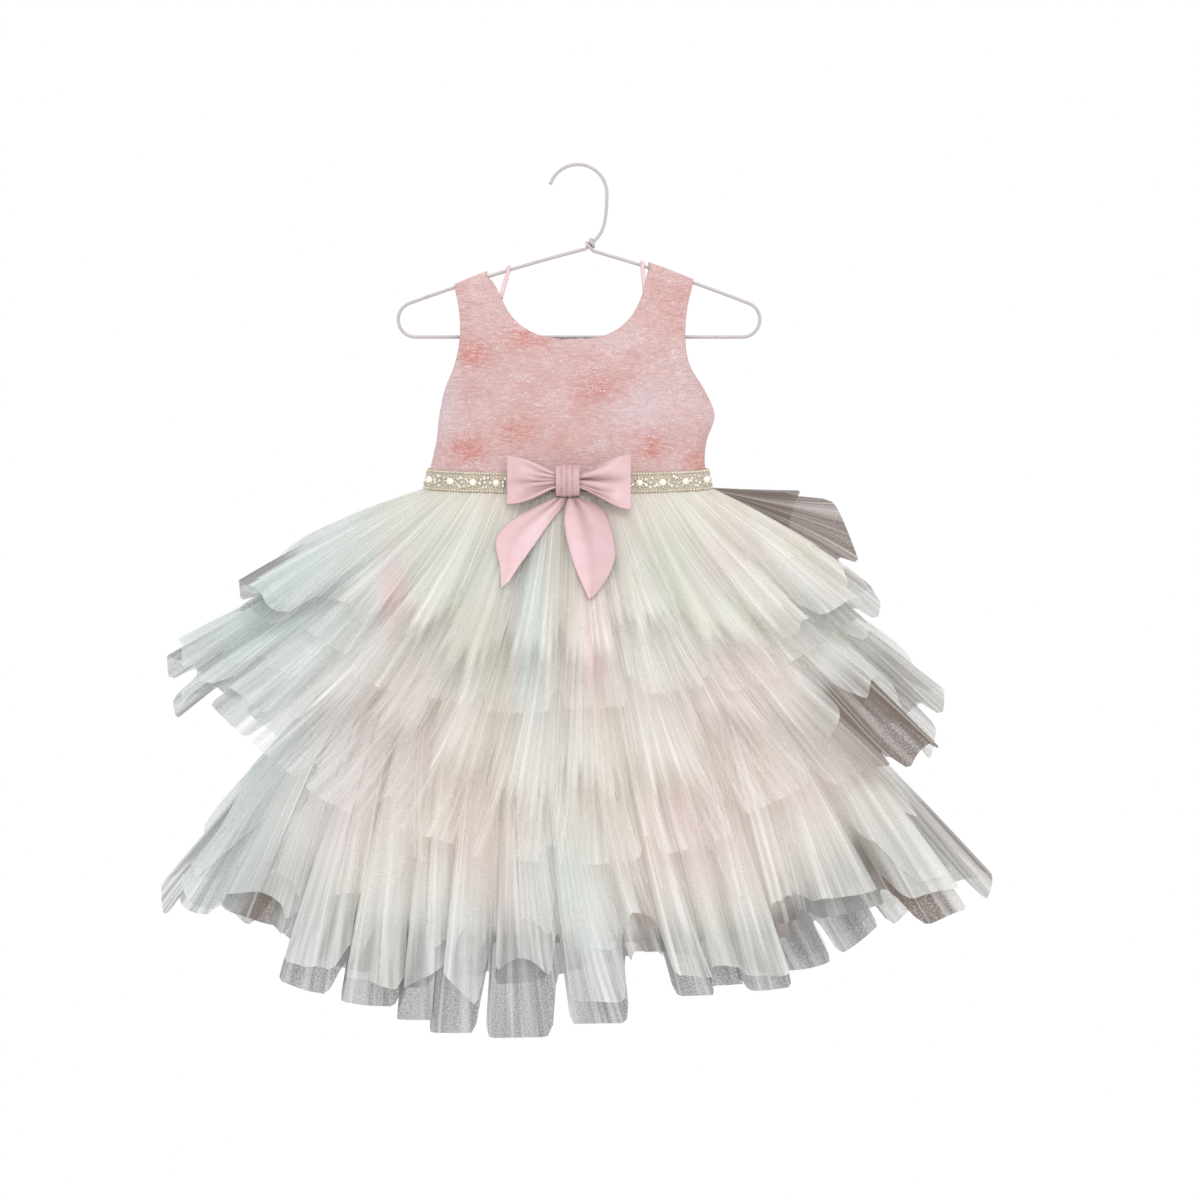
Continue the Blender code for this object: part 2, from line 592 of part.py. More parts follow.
def gap_lengths(tier, name, salt, angles, lengths):
    """The lengths along a panel's hem to its first seam, to each trough's middle and to its last seam."""
    if name in TABS:
        across = [hem_point(tier, angle).x for angle in angles]
        return [0.0] + [float(np.interp(tab.gap_x, across, lengths)) for tab in TABS[name]]
    flutes = tier.flutes // 2
    widths = [1.0 + WIDTH_UNEVEN * irregular(flute, salt + 3) for flute in range(flutes + 1)]
    widths[0] = widths[-1] = 0.5
    return [lengths[-1] * sum(widths[:k]) / sum(widths) for k in range(flutes + 2)]


def reach_to(tier, angle, height):
    """How far along a tier's profile it comes down to a height, by its slope at the hem, which is at 1."""
    start, end = moved_out(angle, tier.attach, SEAM + CLOTH), hem_point(tier, angle)
    bend = blend(tier.end_bend, tier.side_bend, math.cos(angle)**2)
    return 1.0 + (height - end.z) / ((end.z - start.z) * (1.0 - 2.0 * bend))


def flute_reach(tier, name, salt, angle, crest, flute):
    """How far along a tier's profile a flute's corner comes down."""
    panel_flutes = tier.flutes // 2
    if name in TABS and 0 < flute < panel_flutes:
        tabs = TABS[name]
        return reach_to(tier, angle, tabs[flute].tip_z if crest > 0 else tabs[flute - 1].gap_z)
    uneven = HEM_UNEVEN * irregular(flute, salt + 1) if flute % panel_flutes else 0.0
    slant = (hem_point(tier, angle) - moved_out(angle, tier.attach, 0.0)).length
    return 1.0 + (tier.tab * crest + uneven) / slant


def make_tier_panel(tier, facing, salt, look):
    """The front or the back panel of a tier, from one side seam to the other."""
    first, name = (math.pi, f"{tier.name}_front") if facing < 0 else (0.0, f"{tier.name}_back")
    angles, lengths = angles_along(lambda angle: hem_point(tier, angle), first, first + math.pi)
    panel_flutes = tier.flutes // 2
    gaps = gap_lengths(tier, name, salt, angles, lengths)
    places = [0.0] + [k + 0.5 for k in range(panel_flutes)] + [panel_flutes]
    rows = [[] for _ in range(tier.rows + 1)]
    for place, crest, flute in flute_corners(panel_flutes):
        gathered, spread = place / panel_flutes * lengths[-1], float(np.interp(place, places, gaps))
        at_seam = place in (0.0, panel_flutes)
        depth = tier.depth if at_seam else tier.depth * (1.0 + DEPTH_UNEVEN * irregular(flute, salt))
        longest = flute_reach(tier, name, salt, float(np.interp(spread, lengths, angles)), crest, flute)
        for r, row in enumerate(rows):
            t = longest * r / tier.rows
            angle = float(np.interp(blend(gathered, spread, r / tier.rows), lengths, angles))
            point = tier_point(tier, angle, t)
            point += tier_normal(tier, angle, t) * crest * depth * t**GATHER
            if at_seam:
                point.y = facing * SEAM / 2
            row.append(point)
    inside = Vector((CENTRE_LOW, 0.0, 3 * WAIST_Z - SKIRT_DROP))
    cloth_object(name, [rows], look, inside, seams=((1, 0.0),))


def make_tiers(look):
    """Three tiers, each of a front and a back panel."""
    for number, tier in enumerate(TIERS):
        make_tier_panel(tier, -1, 10 * number, look)
        make_tier_panel(tier, 1, 10 * number + 5, look)


# ---- the waist band -------------------------------------------------------------------------------
def band_columns(half, plain):
    """(place, raised) of each column of the band, from its left end round the front to its right end.

    half is half the band's length and place is the length from the middle of the front. plain lists the
    even columns, and those too close to a pearl's are left out. raised is true at a pearl's middle.
    """
    last_pearl = int((half - 2 * PEARL_HALF) / PEARL_PITCH)
    pearls = [k * PEARL_PITCH for k in range(-last_pearl, last_pearl + 1) if abs(k) > PEARLS_UNDER_BOW]
    columns = [(pearl + offset, offset == 0) for pearl in pearls for offset in (-PEARL_HALF, 0, PEARL_HALF)]
    clear = [place for place in plain
             if all(abs(place - other) > BAND_CLEAR * PEARL_HALF for other, _ in columns)]
    ends = (-half + SEAM, half - SEAM)
    return sorted(columns + [(place, False) for place in (*ends, *clear)])


def make_band(look):
    """The band over the waist seam, open at the middle of the back, with pearls raised in its face."""
    first, last = 0.5 * math.pi, 2.5 * math.pi
    angles, lengths = angles_along(lambda angle: waist_point(angle, 0.0), first, last)
    half = lengths[-1] / 2
    plain_angles = [blend(first, last, c / BAND_COLUMNS) for c in range(1, BAND_COLUMNS)]
    columns = band_columns(half, [float(np.interp(angle, angles, lengths)) - half for angle in plain_angles])
    rows = []
    for drop in (-BAND_HEIGHT / 2, -PEARL_HALF, 0.0, PEARL_HALF, BAND_HEIGHT / 2 - SEAM):
        row = []
        for place, raised in columns:
            angle = float(np.interp(place + half, lengths, angles))
            rise = PEARL_RISE if raised and drop == 0.0 else 0.0
            row.append(moved_out(angle, drop, 2 * SEAM + CLOTH + rise))
        rows.append(row)
    cloth_object("beaded_band", [rows], look, Vector((CENTRE_LOW, 0.0, WAIST_Z)))


# ---- the bow --------------------------------------------------------------------------------------
def bow_y():
    """The bow's middle plane, a knot's half depth in front of the band."""
    return moved_out(1.5 * math.pi, 0.0, 3 * SEAM + CLOTH).y - KNOT_DEPTH / 2


def make_knot(look):
    """The knot: a ribbon wrapped round the bow's middle, fullest at its own middle."""
    rows = []
    for r in range(5):
        across = blend(-1.0, 1.0, r / 4)
        girth = blend(1.0, KNOT_WAIST, across * across)
        row = []
        for c in range(KNOT_AROUND + 1):
            turn = 2 * math.pi * (c % KNOT_AROUND) / KNOT_AROUND
            row.append(Vector((CENTRE_LOW + across * KNOT_WIDTH / 2,
                               bow_y() + girth * KNOT_DEPTH / 2 * math.cos(turn),
                               BOW_Z + girth * KNOT_HEIGHT / 2 * math.sin(turn))))
        rows.append(row)
    cloth_object("bow_knot", [rows], look, Vector((CENTRE_LOW, bow_y(), BOW_Z)))


def make_loop(loop, look):
    """A loop: ribbon that goes out from the knot at the front, turns and comes back behind."""
    start = KNOT_WIDTH / 2 - LOOP_TUCK
    rows = []
    for r in range(LOOP_AROUND + 1):
        turn = math.pi * r / LOOP_AROUND
        out, front = math.sin(turn)**0.85, math.cos(turn)
        fullness = blend(LOOP_PINCH, LOOP_DEPTH, eased(out / 0.6))
        top = blend(loop.knot_top, loop.top, eased(out)**0.8)
        bottom = blend(loop.knot_bottom, loop.bottom, eased(out)**0.8)
        row = []
        for c in range(LOOP_ACROSS + 1):
            z = blend(top, bottom, c / LOOP_ACROSS)
            pucker = PUCKER * math.cos(2 * math.pi * PUCKERS * c / LOOP_ACROSS) * (1 - out)
            lean = LOOP_LEAN * max(BOW_Z - z, 0.0)**2
            row.append(Vector((CENTRE_LOW + loop.side * blend(start, loop.reach, out),
                               bow_y() - fullness * front - pucker - lean, z)))
        rows.append(row)
    middle = CENTRE_LOW + loop.side * (start + loop.reach) / 2
    cloth_object(loop.name, [rows], look, Vector((middle, bow_y(), BOW_Z)))


def over_tier(x, z):
    """y of a point in front of the first tier's crests, found by halving over its angle and its length."""
    tier, angle, t = TIERS[0], 1.5 * math.pi, 0.5
    for _ in range(8):
        low, high = 0.0, 1.2
        for _ in range(24):
            t = (low + high) / 2
            low, high = (t, high) if tier_point(tier, angle, t).z > z else (low, t)
        low, high = math.pi, 2 * math.pi
        for _ in range(24):
            angle = (low + high) / 2
            low, high = (angle, high) if tier_point(tier, angle, t).x < x else (low, angle)
    stand = 1.25 * tier.depth * t**GATHER + CLOTH + TAIL_CLEARANCE
    return tier_point(tier, angle, t).y + stand / tier_normal(tier, angle, t).y


def make_tail(name, table, look):
    """A tail that comes from under the knot and lies on the first tier, with a soft fold down it."""
    rows = []
    for r, edges in enumerate(table):
        settled = eased(TAIL_SETTLE * r / (len(table) - 1))
        row = []
        for c in range(TAIL_COLUMNS + 1):
            share = c / TAIL_COLUMNS
            x = blend(edges.left_x, edges.right_x, share)
            z = blend(edges.left_z, edges.right_z, share)
            y = over_tier(x, z) - TAIL_FOLD * math.sin(math.pi * share) * (1 - r / len(table))
            row.append(Vector((x, min(blend(bow_y(), y, settled), y), z)))
        rows.append(row)
    cloth_object(name, [rows], look, Vector((table[3].left_x, 0.0, table[3].left_z)))


def make_bow(look):
    """The satin bow: its knot, two loops and two tails."""
    make_knot(look)
    for loop in LOOPS:
        make_loop(loop, look)
    for name, table in TAILS.items():
        make_tail(name, table, look)


def main():
    """Builds the dress on its hanger."""
    for old in list(bpy.data.objects):
        bpy.data.objects.remove(old)
    satin = material("bow_satin", SATIN, 0.35)
    make_hanger(material("wire_coating", COATING, 0.40))
    make_bodice(material("bodice_brocade", BLUSH, 0.55))
    make_hanger_loop("hanger_loop_left", -0.0665, -0.0595, satin)
    make_hanger_loop("hanger_loop_right", 0.0562, 0.0535, satin)
    make_underskirt(material("underskirt_lining", LINING, 0.60))
    make_tiers(material("tulle", TULLE, 0.70))
    make_band(material("pearl_band", PEARL, 0.30))
    make_bow(satin)


main()
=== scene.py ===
"""The looks of a toddler's sleeveless party dress on its wire hanger, in metres, +Z up, front facing -Y.

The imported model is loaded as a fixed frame, and every piece here lies on the form of one of its nodes: a
brocade bodice, a beaded waist band, a satin bow, a blush underskirt and three tiers of gathered tulle. An
angle round the body is 0 at the side seam at +X, a quarter turn at the middle of the back (+Y), half a turn
at -X and three quarters at the middle of the front (-Y). Left and right are as seen from in front.
"""

from __future__ import annotations

import logging
import math
from collections.abc import Sequence
from dataclasses import dataclass, field, replace
from enum import Enum

import bpy
import numpy as np
from bpy.types import Material, Node, Object
from bpy.types import NodeSocket as Socket
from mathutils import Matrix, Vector

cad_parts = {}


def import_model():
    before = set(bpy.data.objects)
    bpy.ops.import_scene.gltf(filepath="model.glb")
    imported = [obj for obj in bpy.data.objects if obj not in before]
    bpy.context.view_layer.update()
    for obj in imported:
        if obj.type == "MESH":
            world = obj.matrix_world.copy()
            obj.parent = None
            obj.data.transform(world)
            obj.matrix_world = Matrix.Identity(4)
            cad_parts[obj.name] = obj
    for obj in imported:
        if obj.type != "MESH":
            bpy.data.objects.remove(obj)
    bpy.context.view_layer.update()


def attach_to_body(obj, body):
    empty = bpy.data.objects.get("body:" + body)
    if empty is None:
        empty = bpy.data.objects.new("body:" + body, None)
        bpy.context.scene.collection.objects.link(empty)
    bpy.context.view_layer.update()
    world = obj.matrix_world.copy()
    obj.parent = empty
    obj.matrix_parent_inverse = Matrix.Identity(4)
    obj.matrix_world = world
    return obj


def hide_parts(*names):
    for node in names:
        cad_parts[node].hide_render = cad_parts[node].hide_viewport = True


Array = np.ndarray
Values = Array | float
Triple = tuple[float, float, float]
Colour = Triple
Inputs = dict[str | int, object]
LOG = logging.getLogger("party_dress")

CLOTH = 0.0013            # thickness of a cloth wall
RIBBON = 0.0009           # thickness of a satin ribbon
SEAM = 0.0003             # gap between two pieces that are sewn together
WIRE = 0.0028             # diameter of the coated hanger wire
FRONT, BACK = -1, 1       # the sign of y on a facing side
LEFT, RIGHT = -1, 1       # the sign of x on a side


# ---- sums that the pieces share ----
def blend(a: Values, b: Values, share: Values) -> Values:
    """The value a share of the way from a to b."""
    return a + (b - a) * share


def eased(share: Values) -> Array:
    """A share from 0 to 1 that starts and ends gently: s * s * (3 - 2 s)."""
    share = np.clip(share, 0.0, 1.0)
    return share * share * (3 - 2 * share)


def irregular(number: Values, salt: float) -> Array:
    """Uneven values from -1 to 1: the fraction of a large multiple of a sine of the number and the salt."""
    return 2 * (np.sin(12.9898 * np.asarray(number) + 4.1414 * salt) * 43758.5453 % 1.0) - 1


def uneven_field(x: Array, y: Array, salt: float) -> Array:
    """A smooth uneven field over two numbers.

    It has an irregular value at each whole x and y, and eased shares blend the four nearest.

    Args:
        x: The first number, an array of any shape.
        y: The second number, which goes with x.
        salt: Picks one field out of many.

    Returns:
        Values from -1 to 1, in the shape of x and y together.
    """
    column, row = np.floor(x), np.floor(y)
    right, up = eased(x - column), eased(y - row)

    def corner(over: int, above: int) -> Array:
        """The irregular value of one of the four nearest whole places."""
        return irregular(column + over + 61.7 * (row + above), salt)

    low = blend(corner(0, 0), corner(1, 0), right)
    return blend(low, blend(corner(0, 1), corner(1, 1), right), up)


def uneven_steps(x: Array, turn: float, salt: float) -> Array:
    """Uneven values from -1 to 1, one for each whole x, each eased in over the first share turn of it."""
    number = np.floor(x)
    return blend(irregular(number - 1, salt), irregular(number, salt), eased((x - number) / turn))


def side_share(angle: Array) -> Array:
    """1 at the dress's two sides and 0 over its front and back: eased steps of the angle's cosine."""
    return eased((np.abs(np.cos(angle)) - 0.66) / 0.25)


def bell(x: Array, middle: Values, spread: Values) -> Array:
    """A bell curve, 1 at its middle: e to the minus square of the way from it over its spread."""
    return np.exp(-((x - middle) / spread)**2)


def bell_round(angle: Array, middle: float, spread: float) -> Array:
    """A bell curve round the body over angles in radians, its middle and its spread in degrees."""
    return bell((np.degrees(angle) - middle + 180) % 360 - 180, 0.0, spread)


def evenly(steps: int, first: float = 0.0, last: float = 1.0) -> Array:
    """Even values from the first to the last, that many steps apart."""
    return np.linspace(first, last, steps + 1)


@dataclass(frozen=True)
class Spot:
    """A soft spot on a surface: its middle, its half sizes and its strength."""

    x: float
    z: float
    width: float
    height: float
    strength: float

    def at(self, points: Array) -> Array:
        """How strongly each point lies in the spot: a bell curve both across and up."""
        x, z = points[..., 0], points[..., 2]
        return self.strength * bell(x, self.x, self.width) * bell(z, self.z, self.height)


def unit(vectors: Array) -> Array:
    """The vectors scaled to a length of 1."""
    return vectors / np.maximum(np.linalg.norm(vectors, axis=-1, keepdims=True), 1e-12)


def stack(x: Values, y: Values, z: Values) -> Array:
    """Points from their three coordinates, which may be arrays of shapes that go together."""
    return np.stack(np.broadcast_arrays(np.asarray(x, float), y, z), axis=-1)


def lengths_along(points: Array) -> Array:
    """The length from the first point to each one, along the last but one axis."""
    steps = np.linalg.norm(np.diff(points, axis=-2), axis=-1)
    return np.concatenate([np.zeros_like(steps[..., :1]), np.cumsum(steps, axis=-1)], axis=-1)


def smooth_route(corners: Array, count: int) -> Array:
    """A smooth curve through corners: a Catmull-Rom cubic between each two, read at even lengths.

    Args:
        corners: The points it passes through, one a row.
        count: How many points to read.

    Returns:
        The curve's points, one a row.
    """
    ends = np.concatenate([2 * corners[:1] - corners[1:2], corners, 2 * corners[-1:] - corners[-2:-1]])
    t = np.linspace(0.0, 1.0, 12, endpoint=False)[None, :, None]
    before, start, end, after = (ends[k:len(ends) - 3 + k, None, :] for k in range(4))
    pieces = 0.5 * (2 * start + (end - before) * t + (2 * before - 5 * start + 4 * end - after) * t**2
                    + (3 * start - before - 3 * end + after) * t**3)
    dense = np.concatenate([pieces.reshape(-1, 3), corners[-1:]])
    lengths = lengths_along(dense)
    even = np.linspace(0.0, lengths[-1], count)
    return np.stack([np.interp(even, lengths, dense[:, k]) for k in range(3)], axis=-1)


# ---- meshes ----
@dataclass(frozen=True)
class Grid:
    """A surface's points in rows and columns, its cut's sizes, and the finish's values at each point."""

    points: Array
    flip: bool = False
    values: dict[str, Array] = field(default_factory=dict)
    cut: Array | None = None

    def quads(self) -> Array:
        """The corner numbers of each cell, one cell a row, turned round if the grid is flipped."""
        rows, columns = self.points.shape[:2]
        number = np.arange(rows * columns).reshape(rows, columns)
        cells = np.stack([number[:-1, :-1], number[:-1, 1:], number[1:, 1:], number[1:, :-1]], axis=-1)
        cells = cells.reshape(-1, 4)
        return cells[:, ::-1] if self.flip else cells

    def cut_sizes(self) -> Array:
        """Metres across and along the cloth at each point, measured on the surface unless given."""
        if self.cut is not None:
            return self.cut
        across = lengths_along(self.points)
        along = lengths_along(self.points.transpose(1, 0, 2)).T
        return np.stack([across, along], axis=-1)


class Mesh:
    """Writes grids and whole arrays of repeated shapes into one object's mesh."""

    def __init__(self, name: str) -> None:
        """Starts an empty mesh that will have that name."""
        self.name = name
        self.points: list[Array] = []
        self.faces: list[Array] = []
        self.cuts: list[Array] = []
        self.values: dict[str, list[Array]] = {}
        self.count = 0

    def add(self, grid: Grid) -> Mesh:
        """Adds a grid's cells.

        Args:
            grid: The surface to add. Its values need the same names as those of the grids before it.

        Returns:
            This mesh, so that calls can follow each other.
        """
        points = grid.points.reshape(-1, 3)
        self.faces.append(grid.quads() + self.count)
        self.points.append(points)
        self.cuts.append(grid.cut_sizes().reshape(-1, 2))
        for key, numbers in grid.values.items():
            width = 3 if numbers.ndim == 3 else 1
            self.values.setdefault(key, []).append(numbers.reshape(-1, width))
        self.count += len(points)
        return self

    def repeat(self, shape: Array, cells: Array, places: Array, axes: Array) -> Mesh:
        """Adds a copy of a small shape at each place, turned to that place's axes.

        Args:
            shape: The small shape's points, one a row.
            cells: Its cells' corner numbers, four a row.
            places: Where its origin goes, one place a row.
            axes: For each place, its three axes as the rows of a matrix, whose length is the scale.

        Returns:
            This mesh, so that calls can follow each other.
        """
        copies = places[:, None, :] + np.einsum("sk,nkc->nsc", shape, axes)
        offsets = self.count + len(shape) * np.arange(len(places))
        self.faces.append((cells[None] + offsets[:, None, None]).reshape(-1, 4))
        self.points.append(copies.reshape(-1, 3))
        self.cuts.append(np.tile(shape[:, :2], (len(places), 1)))
        self.count += copies.shape[0] * copies.shape[1]
        return self

    def build(self, weld: float = 1e-6) -> Object:
        """Makes the object, with points closer than weld made one and empty cells left out.

        Args:
            weld: The distance under which points are one.

        Returns:
            The new object, at the origin.
        """
        points = np.concatenate(self.points)
        faces = np.concatenate(self.faces)
        _, first, number = np.unique(np.round(points / weld), axis=0, return_index=True, return_inverse=True)
        corners = number.reshape(-1)[faces]
        keep = corners != np.roll(corners, -1, axis=1)
        sizes = keep.sum(axis=1)
        keep[sizes < 3] = False
        sizes = sizes[sizes > 2]
        mesh = bpy.data.meshes.new(self.name)
        mesh.vertices.add(len(first))
        mesh.vertices.foreach_set("co", points[first].astype(np.float32).ravel())
        mesh.loops.add(int(keep.sum()))
        mesh.loops.foreach_set("vertex_index", corners[keep].astype(np.int32))
        mesh.polygons.add(len(sizes))
        mesh.polygons.foreach_set("loop_start", (np.cumsum(sizes) - sizes).astype(np.int32))
        mesh.update(calc_edges=True)
        uv = mesh.uv_layers.new(name="cut")
        uv.data.foreach_set("uv", np.concatenate(self.cuts)[faces[keep]].astype(np.float32).ravel())
        for key, parts in self.values.items():
            numbers = np.concatenate(parts)[first].astype(np.float32)
            if numbers.shape[1] == 3:
                opaque = np.column_stack([numbers, np.ones(len(first))])
                mesh.attributes.new(key, "FLOAT_COLOR", "POINT").data.foreach_set("color", opaque.ravel())
            else:
                mesh.attributes.new(key, "FLOAT", "POINT").data.foreach_set("value", numbers.ravel())
        mesh.validate()
        mesh.shade_smooth()
        made = bpy.data.objects.new(self.name, mesh)
        bpy.context.scene.collection.objects.link(made)
        return made


def tube(route: Array, radius: Values, sides: int, flatness: float = 1.0) -> Grid:
    """A round profile carried along a route, drawn in to a point at both ends.

    The profile's axes are the route's direction crossed with +Y, and that crossed with the direction.

    Args:
        route: The middle's points, one a row.
        radius: The profile's radius, or one for each point.
        sides: How many sides the profile has.
        flatness: The profile's depth as a share of its width.

    Returns:
        The tube's surface, with its faces pointing out.
    """
    along = unit(np.gradient(route, axis=0))
    beside = np.cross(along, np.array([0.0, 1.0, 0.0]))
    weak = np.linalg.norm(beside, axis=1) < 0.2
    beside[weak] = np.cross(along[weak], np.array([1.0, 0.0, 0.0]))
    beside = unit(beside)
    above = np.cross(beside, along)
    turn = 2 * np.pi * np.arange(sides + 1)[None, :, None] / sides
    size = np.broadcast_to(radius, len(route))[:, None, None]
    ring = route[:, None] + size * (np.cos(turn) * beside[:, None] + flatness * np.sin(turn) * above[:, None])
    ring[:, -1] = ring[:, 0]
    caps = [np.broadcast_to(route[k], (1, sides + 1, 3)) for k in (0, -1)]
    return Grid(np.concatenate([caps[0], ring, caps[1]]), flip=True)


def ball(rings: int, sides: int) -> tuple[Array, Array]:
    """The points and cells of a ball of radius 1 about the origin, from its two angles.

    Args:
        rings: Rings from pole to pole.
        sides: Sides of each ring.

    Returns:
        Its points, one a row, and its cells' corner numbers, four a row.
    """
    up = evenly(rings, 0.0, np.pi)[:, None]
    turn = evenly(sides, 0.0, 2 * np.pi)[None, :]
    grid = Grid(stack(np.sin(up) * np.cos(turn), np.sin(up) * np.sin(turn), np.cos(up)))
    return grid.points.reshape(-1, 3), grid.quads()


def thicken(piece: Object, thickness: float = CLOTH) -> None:
    """Gives a sheet its wall, inwards from its outer face."""
    wall = piece.modifiers.new("wall", "SOLIDIFY")
    wall.thickness = thickness
    wall.offset = -1.0
    wall.use_even_offset = False


def dress(piece: Object, finish: Material, slot: str, *nodes: str) -> None:
    """Gives a piece its finish, its body and the nodes that it stands for.

    Args:
        piece: The piece's object.
        finish: Its material.
        slot: Its slot's name, which is not used.
        nodes: The nodes that it replaces.
    """
    piece.data.materials.append(finish)
    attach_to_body(piece, "root")
    if nodes:
        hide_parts(*nodes)
    LOG.info("%s: %d cells", piece.name, len(piece.data.polygons))


class Held(Enum):
    """How a sheet of cloth is held."""

    HUNG = "hung"
    GATHERED = "gathered"
    STRETCHED = "stretched"
    FOLDED = "folded"


def declare(points: Array, held: Held) -> None:
    """Works out a sheet's flat size, measured along its rows and its columns, but keeps it nowhere.

    Its length is the mean of its columns, and its cut's area is that of its cells. Its width is its widest
    row, or for a gathered sheet, whose lower edge is cut ragged, the lower edge of the trapezoid that has the
    sheet's area, length and upper edge.

    Args:
        points: Its surface in rows and columns, or several such surfaces of the same shape.
        held: How it is held.
    """
    points = points if points.ndim == 4 else points[None]
    rows = np.linalg.norm(np.diff(points, axis=2), axis=-1).sum(axis=(0, 2))
    columns = np.linalg.norm(np.diff(points, axis=1), axis=-1).sum(axis=1)
    right, down = np.diff(points[:, :-1], axis=2), np.diff(points[:, :, :-1], axis=1)
    area = float(np.linalg.norm(np.cross(right, down), axis=-1).sum())
    width, length = float(rows.max()), float(columns.mean())
    if held is Held.GATHERED:
        width = 2 * area / length - float(rows[0])


# ---- finishes ----
def paint(red: float, green: float, blue: float) -> Colour:
    """A screen colour of 0 to 255 as linear light: the sRGB curve, undone."""
    shares = np.array([red, green, blue]) / 255
    linear = np.where(shares <= 0.04045, shares / 12.92, ((shares + 0.055) / 1.055)**2.4)
    return tuple(float(value) for value in linear)


class Graph:
    """Builds the node graph of one material."""

    def __init__(self, name: str) -> None:
        """Starts an empty material of that name."""
        self.material = bpy.data.materials.new(name)
        self.material.use_nodes = True
        self.tree = self.material.node_tree
        self.tree.nodes.clear()
        self.output = self.tree.nodes.new("ShaderNodeOutputMaterial")

    def add(self, kind: str, inputs: Inputs | None = None, **settings: object) -> Node:
        """Adds a node.

        Args:
            kind: Its type, without the prefix that all shader nodes have.
            inputs: For each socket, a value or the socket that feeds it.
            settings: The node's own options.

        Returns:
            The new node.
        """
        node = self.tree.nodes.new("ShaderNode" + kind)
        for key, value in settings.items():
            setattr(node, key, value)
        for key, value in (inputs or {}).items():
            socket = node.inputs[key]
            if isinstance(value, Socket):
                self.tree.links.new(value, socket)
            elif socket.type == "RGBA":
                socket.default_value = (*value, 1.0)
            else:
                socket.default_value = value
        return node

    def on_object(self, scale: Triple = (1.0, 1.0, 1.0)) -> Socket:
        """Object coordinates in metres, times a scale for each axis."""
        source = self.add("TexCoord").outputs["Object"]
        return self.add("Mapping", {"Vector": source, "Scale": scale}).outputs["Vector"]

    def on_cut(self, across: float, along: float) -> Socket:
        """Metres across and along the piece's cut, times a scale for each."""
        source = self.add("UVMap", uv_map="cut").outputs["UV"]
        return self.add("Mapping", {"Vector": source, "Scale": (across, along, 1.0)}).outputs["Vector"]

    def value_of(self, name: str) -> Socket:
        """A number that the mesh keeps at each point."""
        return self.add("Attribute", attribute_name=name).outputs["Fac"]

    def colour_of(self, name: str) -> Socket:
        """A colour that the mesh keeps at each point."""
        return self.add("Attribute", attribute_name=name).outputs["Color"]

    def noise(self, place: Socket, scale: float = 1.0, detail: float = 3.0) -> Socket:
        """Soft clouds from 0 to 1."""
        made = self.add("TexNoise", {"Vector": place, "Scale": scale, "Detail": detail, "Roughness": 0.6})
        return made.outputs[0]

    def cells(self, place: Socket, scale: float = 1.0, flat: bool = False) -> Socket:
        """The distance to the middle of the nearest of many scattered cells, in a plane if flat."""
        made = self.add("TexVoronoi", {"Vector": place, "Scale": scale},
                        voronoi_dimensions="2D" if flat else "3D")
        return made.outputs["Distance"]

    def ramp(self, value: Socket, low: float, high: float,
             first: float = 0.0, last: float = 1.0) -> Socket:
        """Carries low..high of a value to first..last, and holds it there past both."""
        return self.add("MapRange", {"Value": value, "From Min": low, "From Max": high,
                                     "To Min": first, "To Max": last}).outputs["Result"]

    def swing(self, noise: Socket, first: float, last: float) -> Socket:
        """Carries the usual range of a noise, 0.3 to 0.7, to first..last."""
        return self.ramp(noise, 0.3, 0.7, first, last)

    def maths(self, operation: str, a: object, b: object) -> Socket:
        """One of the Math node's operations on two numbers."""
        return self.add("Math", {0: a, 1: b}, operation=operation).outputs[0]

    def times(self, a: object, b: object) -> Socket:
        """The product of two numbers."""
        return self.maths("MULTIPLY", a, b)

    def plus(self, a: object, b: object) -> Socket:
        """The sum of two numbers."""
        return self.maths("ADD", a, b)

    def minus(self, a: object, b: object) -> Socket:
        """The first number less the second."""
        return self.maths("SUBTRACT", a, b)

    def mix(self, a: object, b: object, share: object, how: str = "MIX") -> Socket:
        """Colour b laid over colour a by a share."""
        made = self.add("Mix", {0: share, 6: a, 7: b}, data_type="RGBA", blend_type=how)
        return made.outputs[2]

    def bump(self, height: Socket, depth: float, strength: float) -> Socket:
        """The normal over a height that stands depth metres high."""
        return self.add("Bump", {"Height": height, "Distance": depth, "Strength": strength}).outputs["Normal"]

    def principled(self, inputs: Inputs) -> Socket:
        """The Principled shader with those inputs."""
        return self.add("BsdfPrincipled", inputs).outputs[0]

    def finish(self, shader: Socket) -> Material:
        """Ends the graph in that shader and returns its material."""
        self.tree.links.new(shader, self.output.inputs["Surface"])
        return self.material

    def surface(self, inputs: Inputs) -> Material:
        """Ends the graph in a Principled shader with those inputs and returns its material."""
        return self.finish(self.principled(inputs))


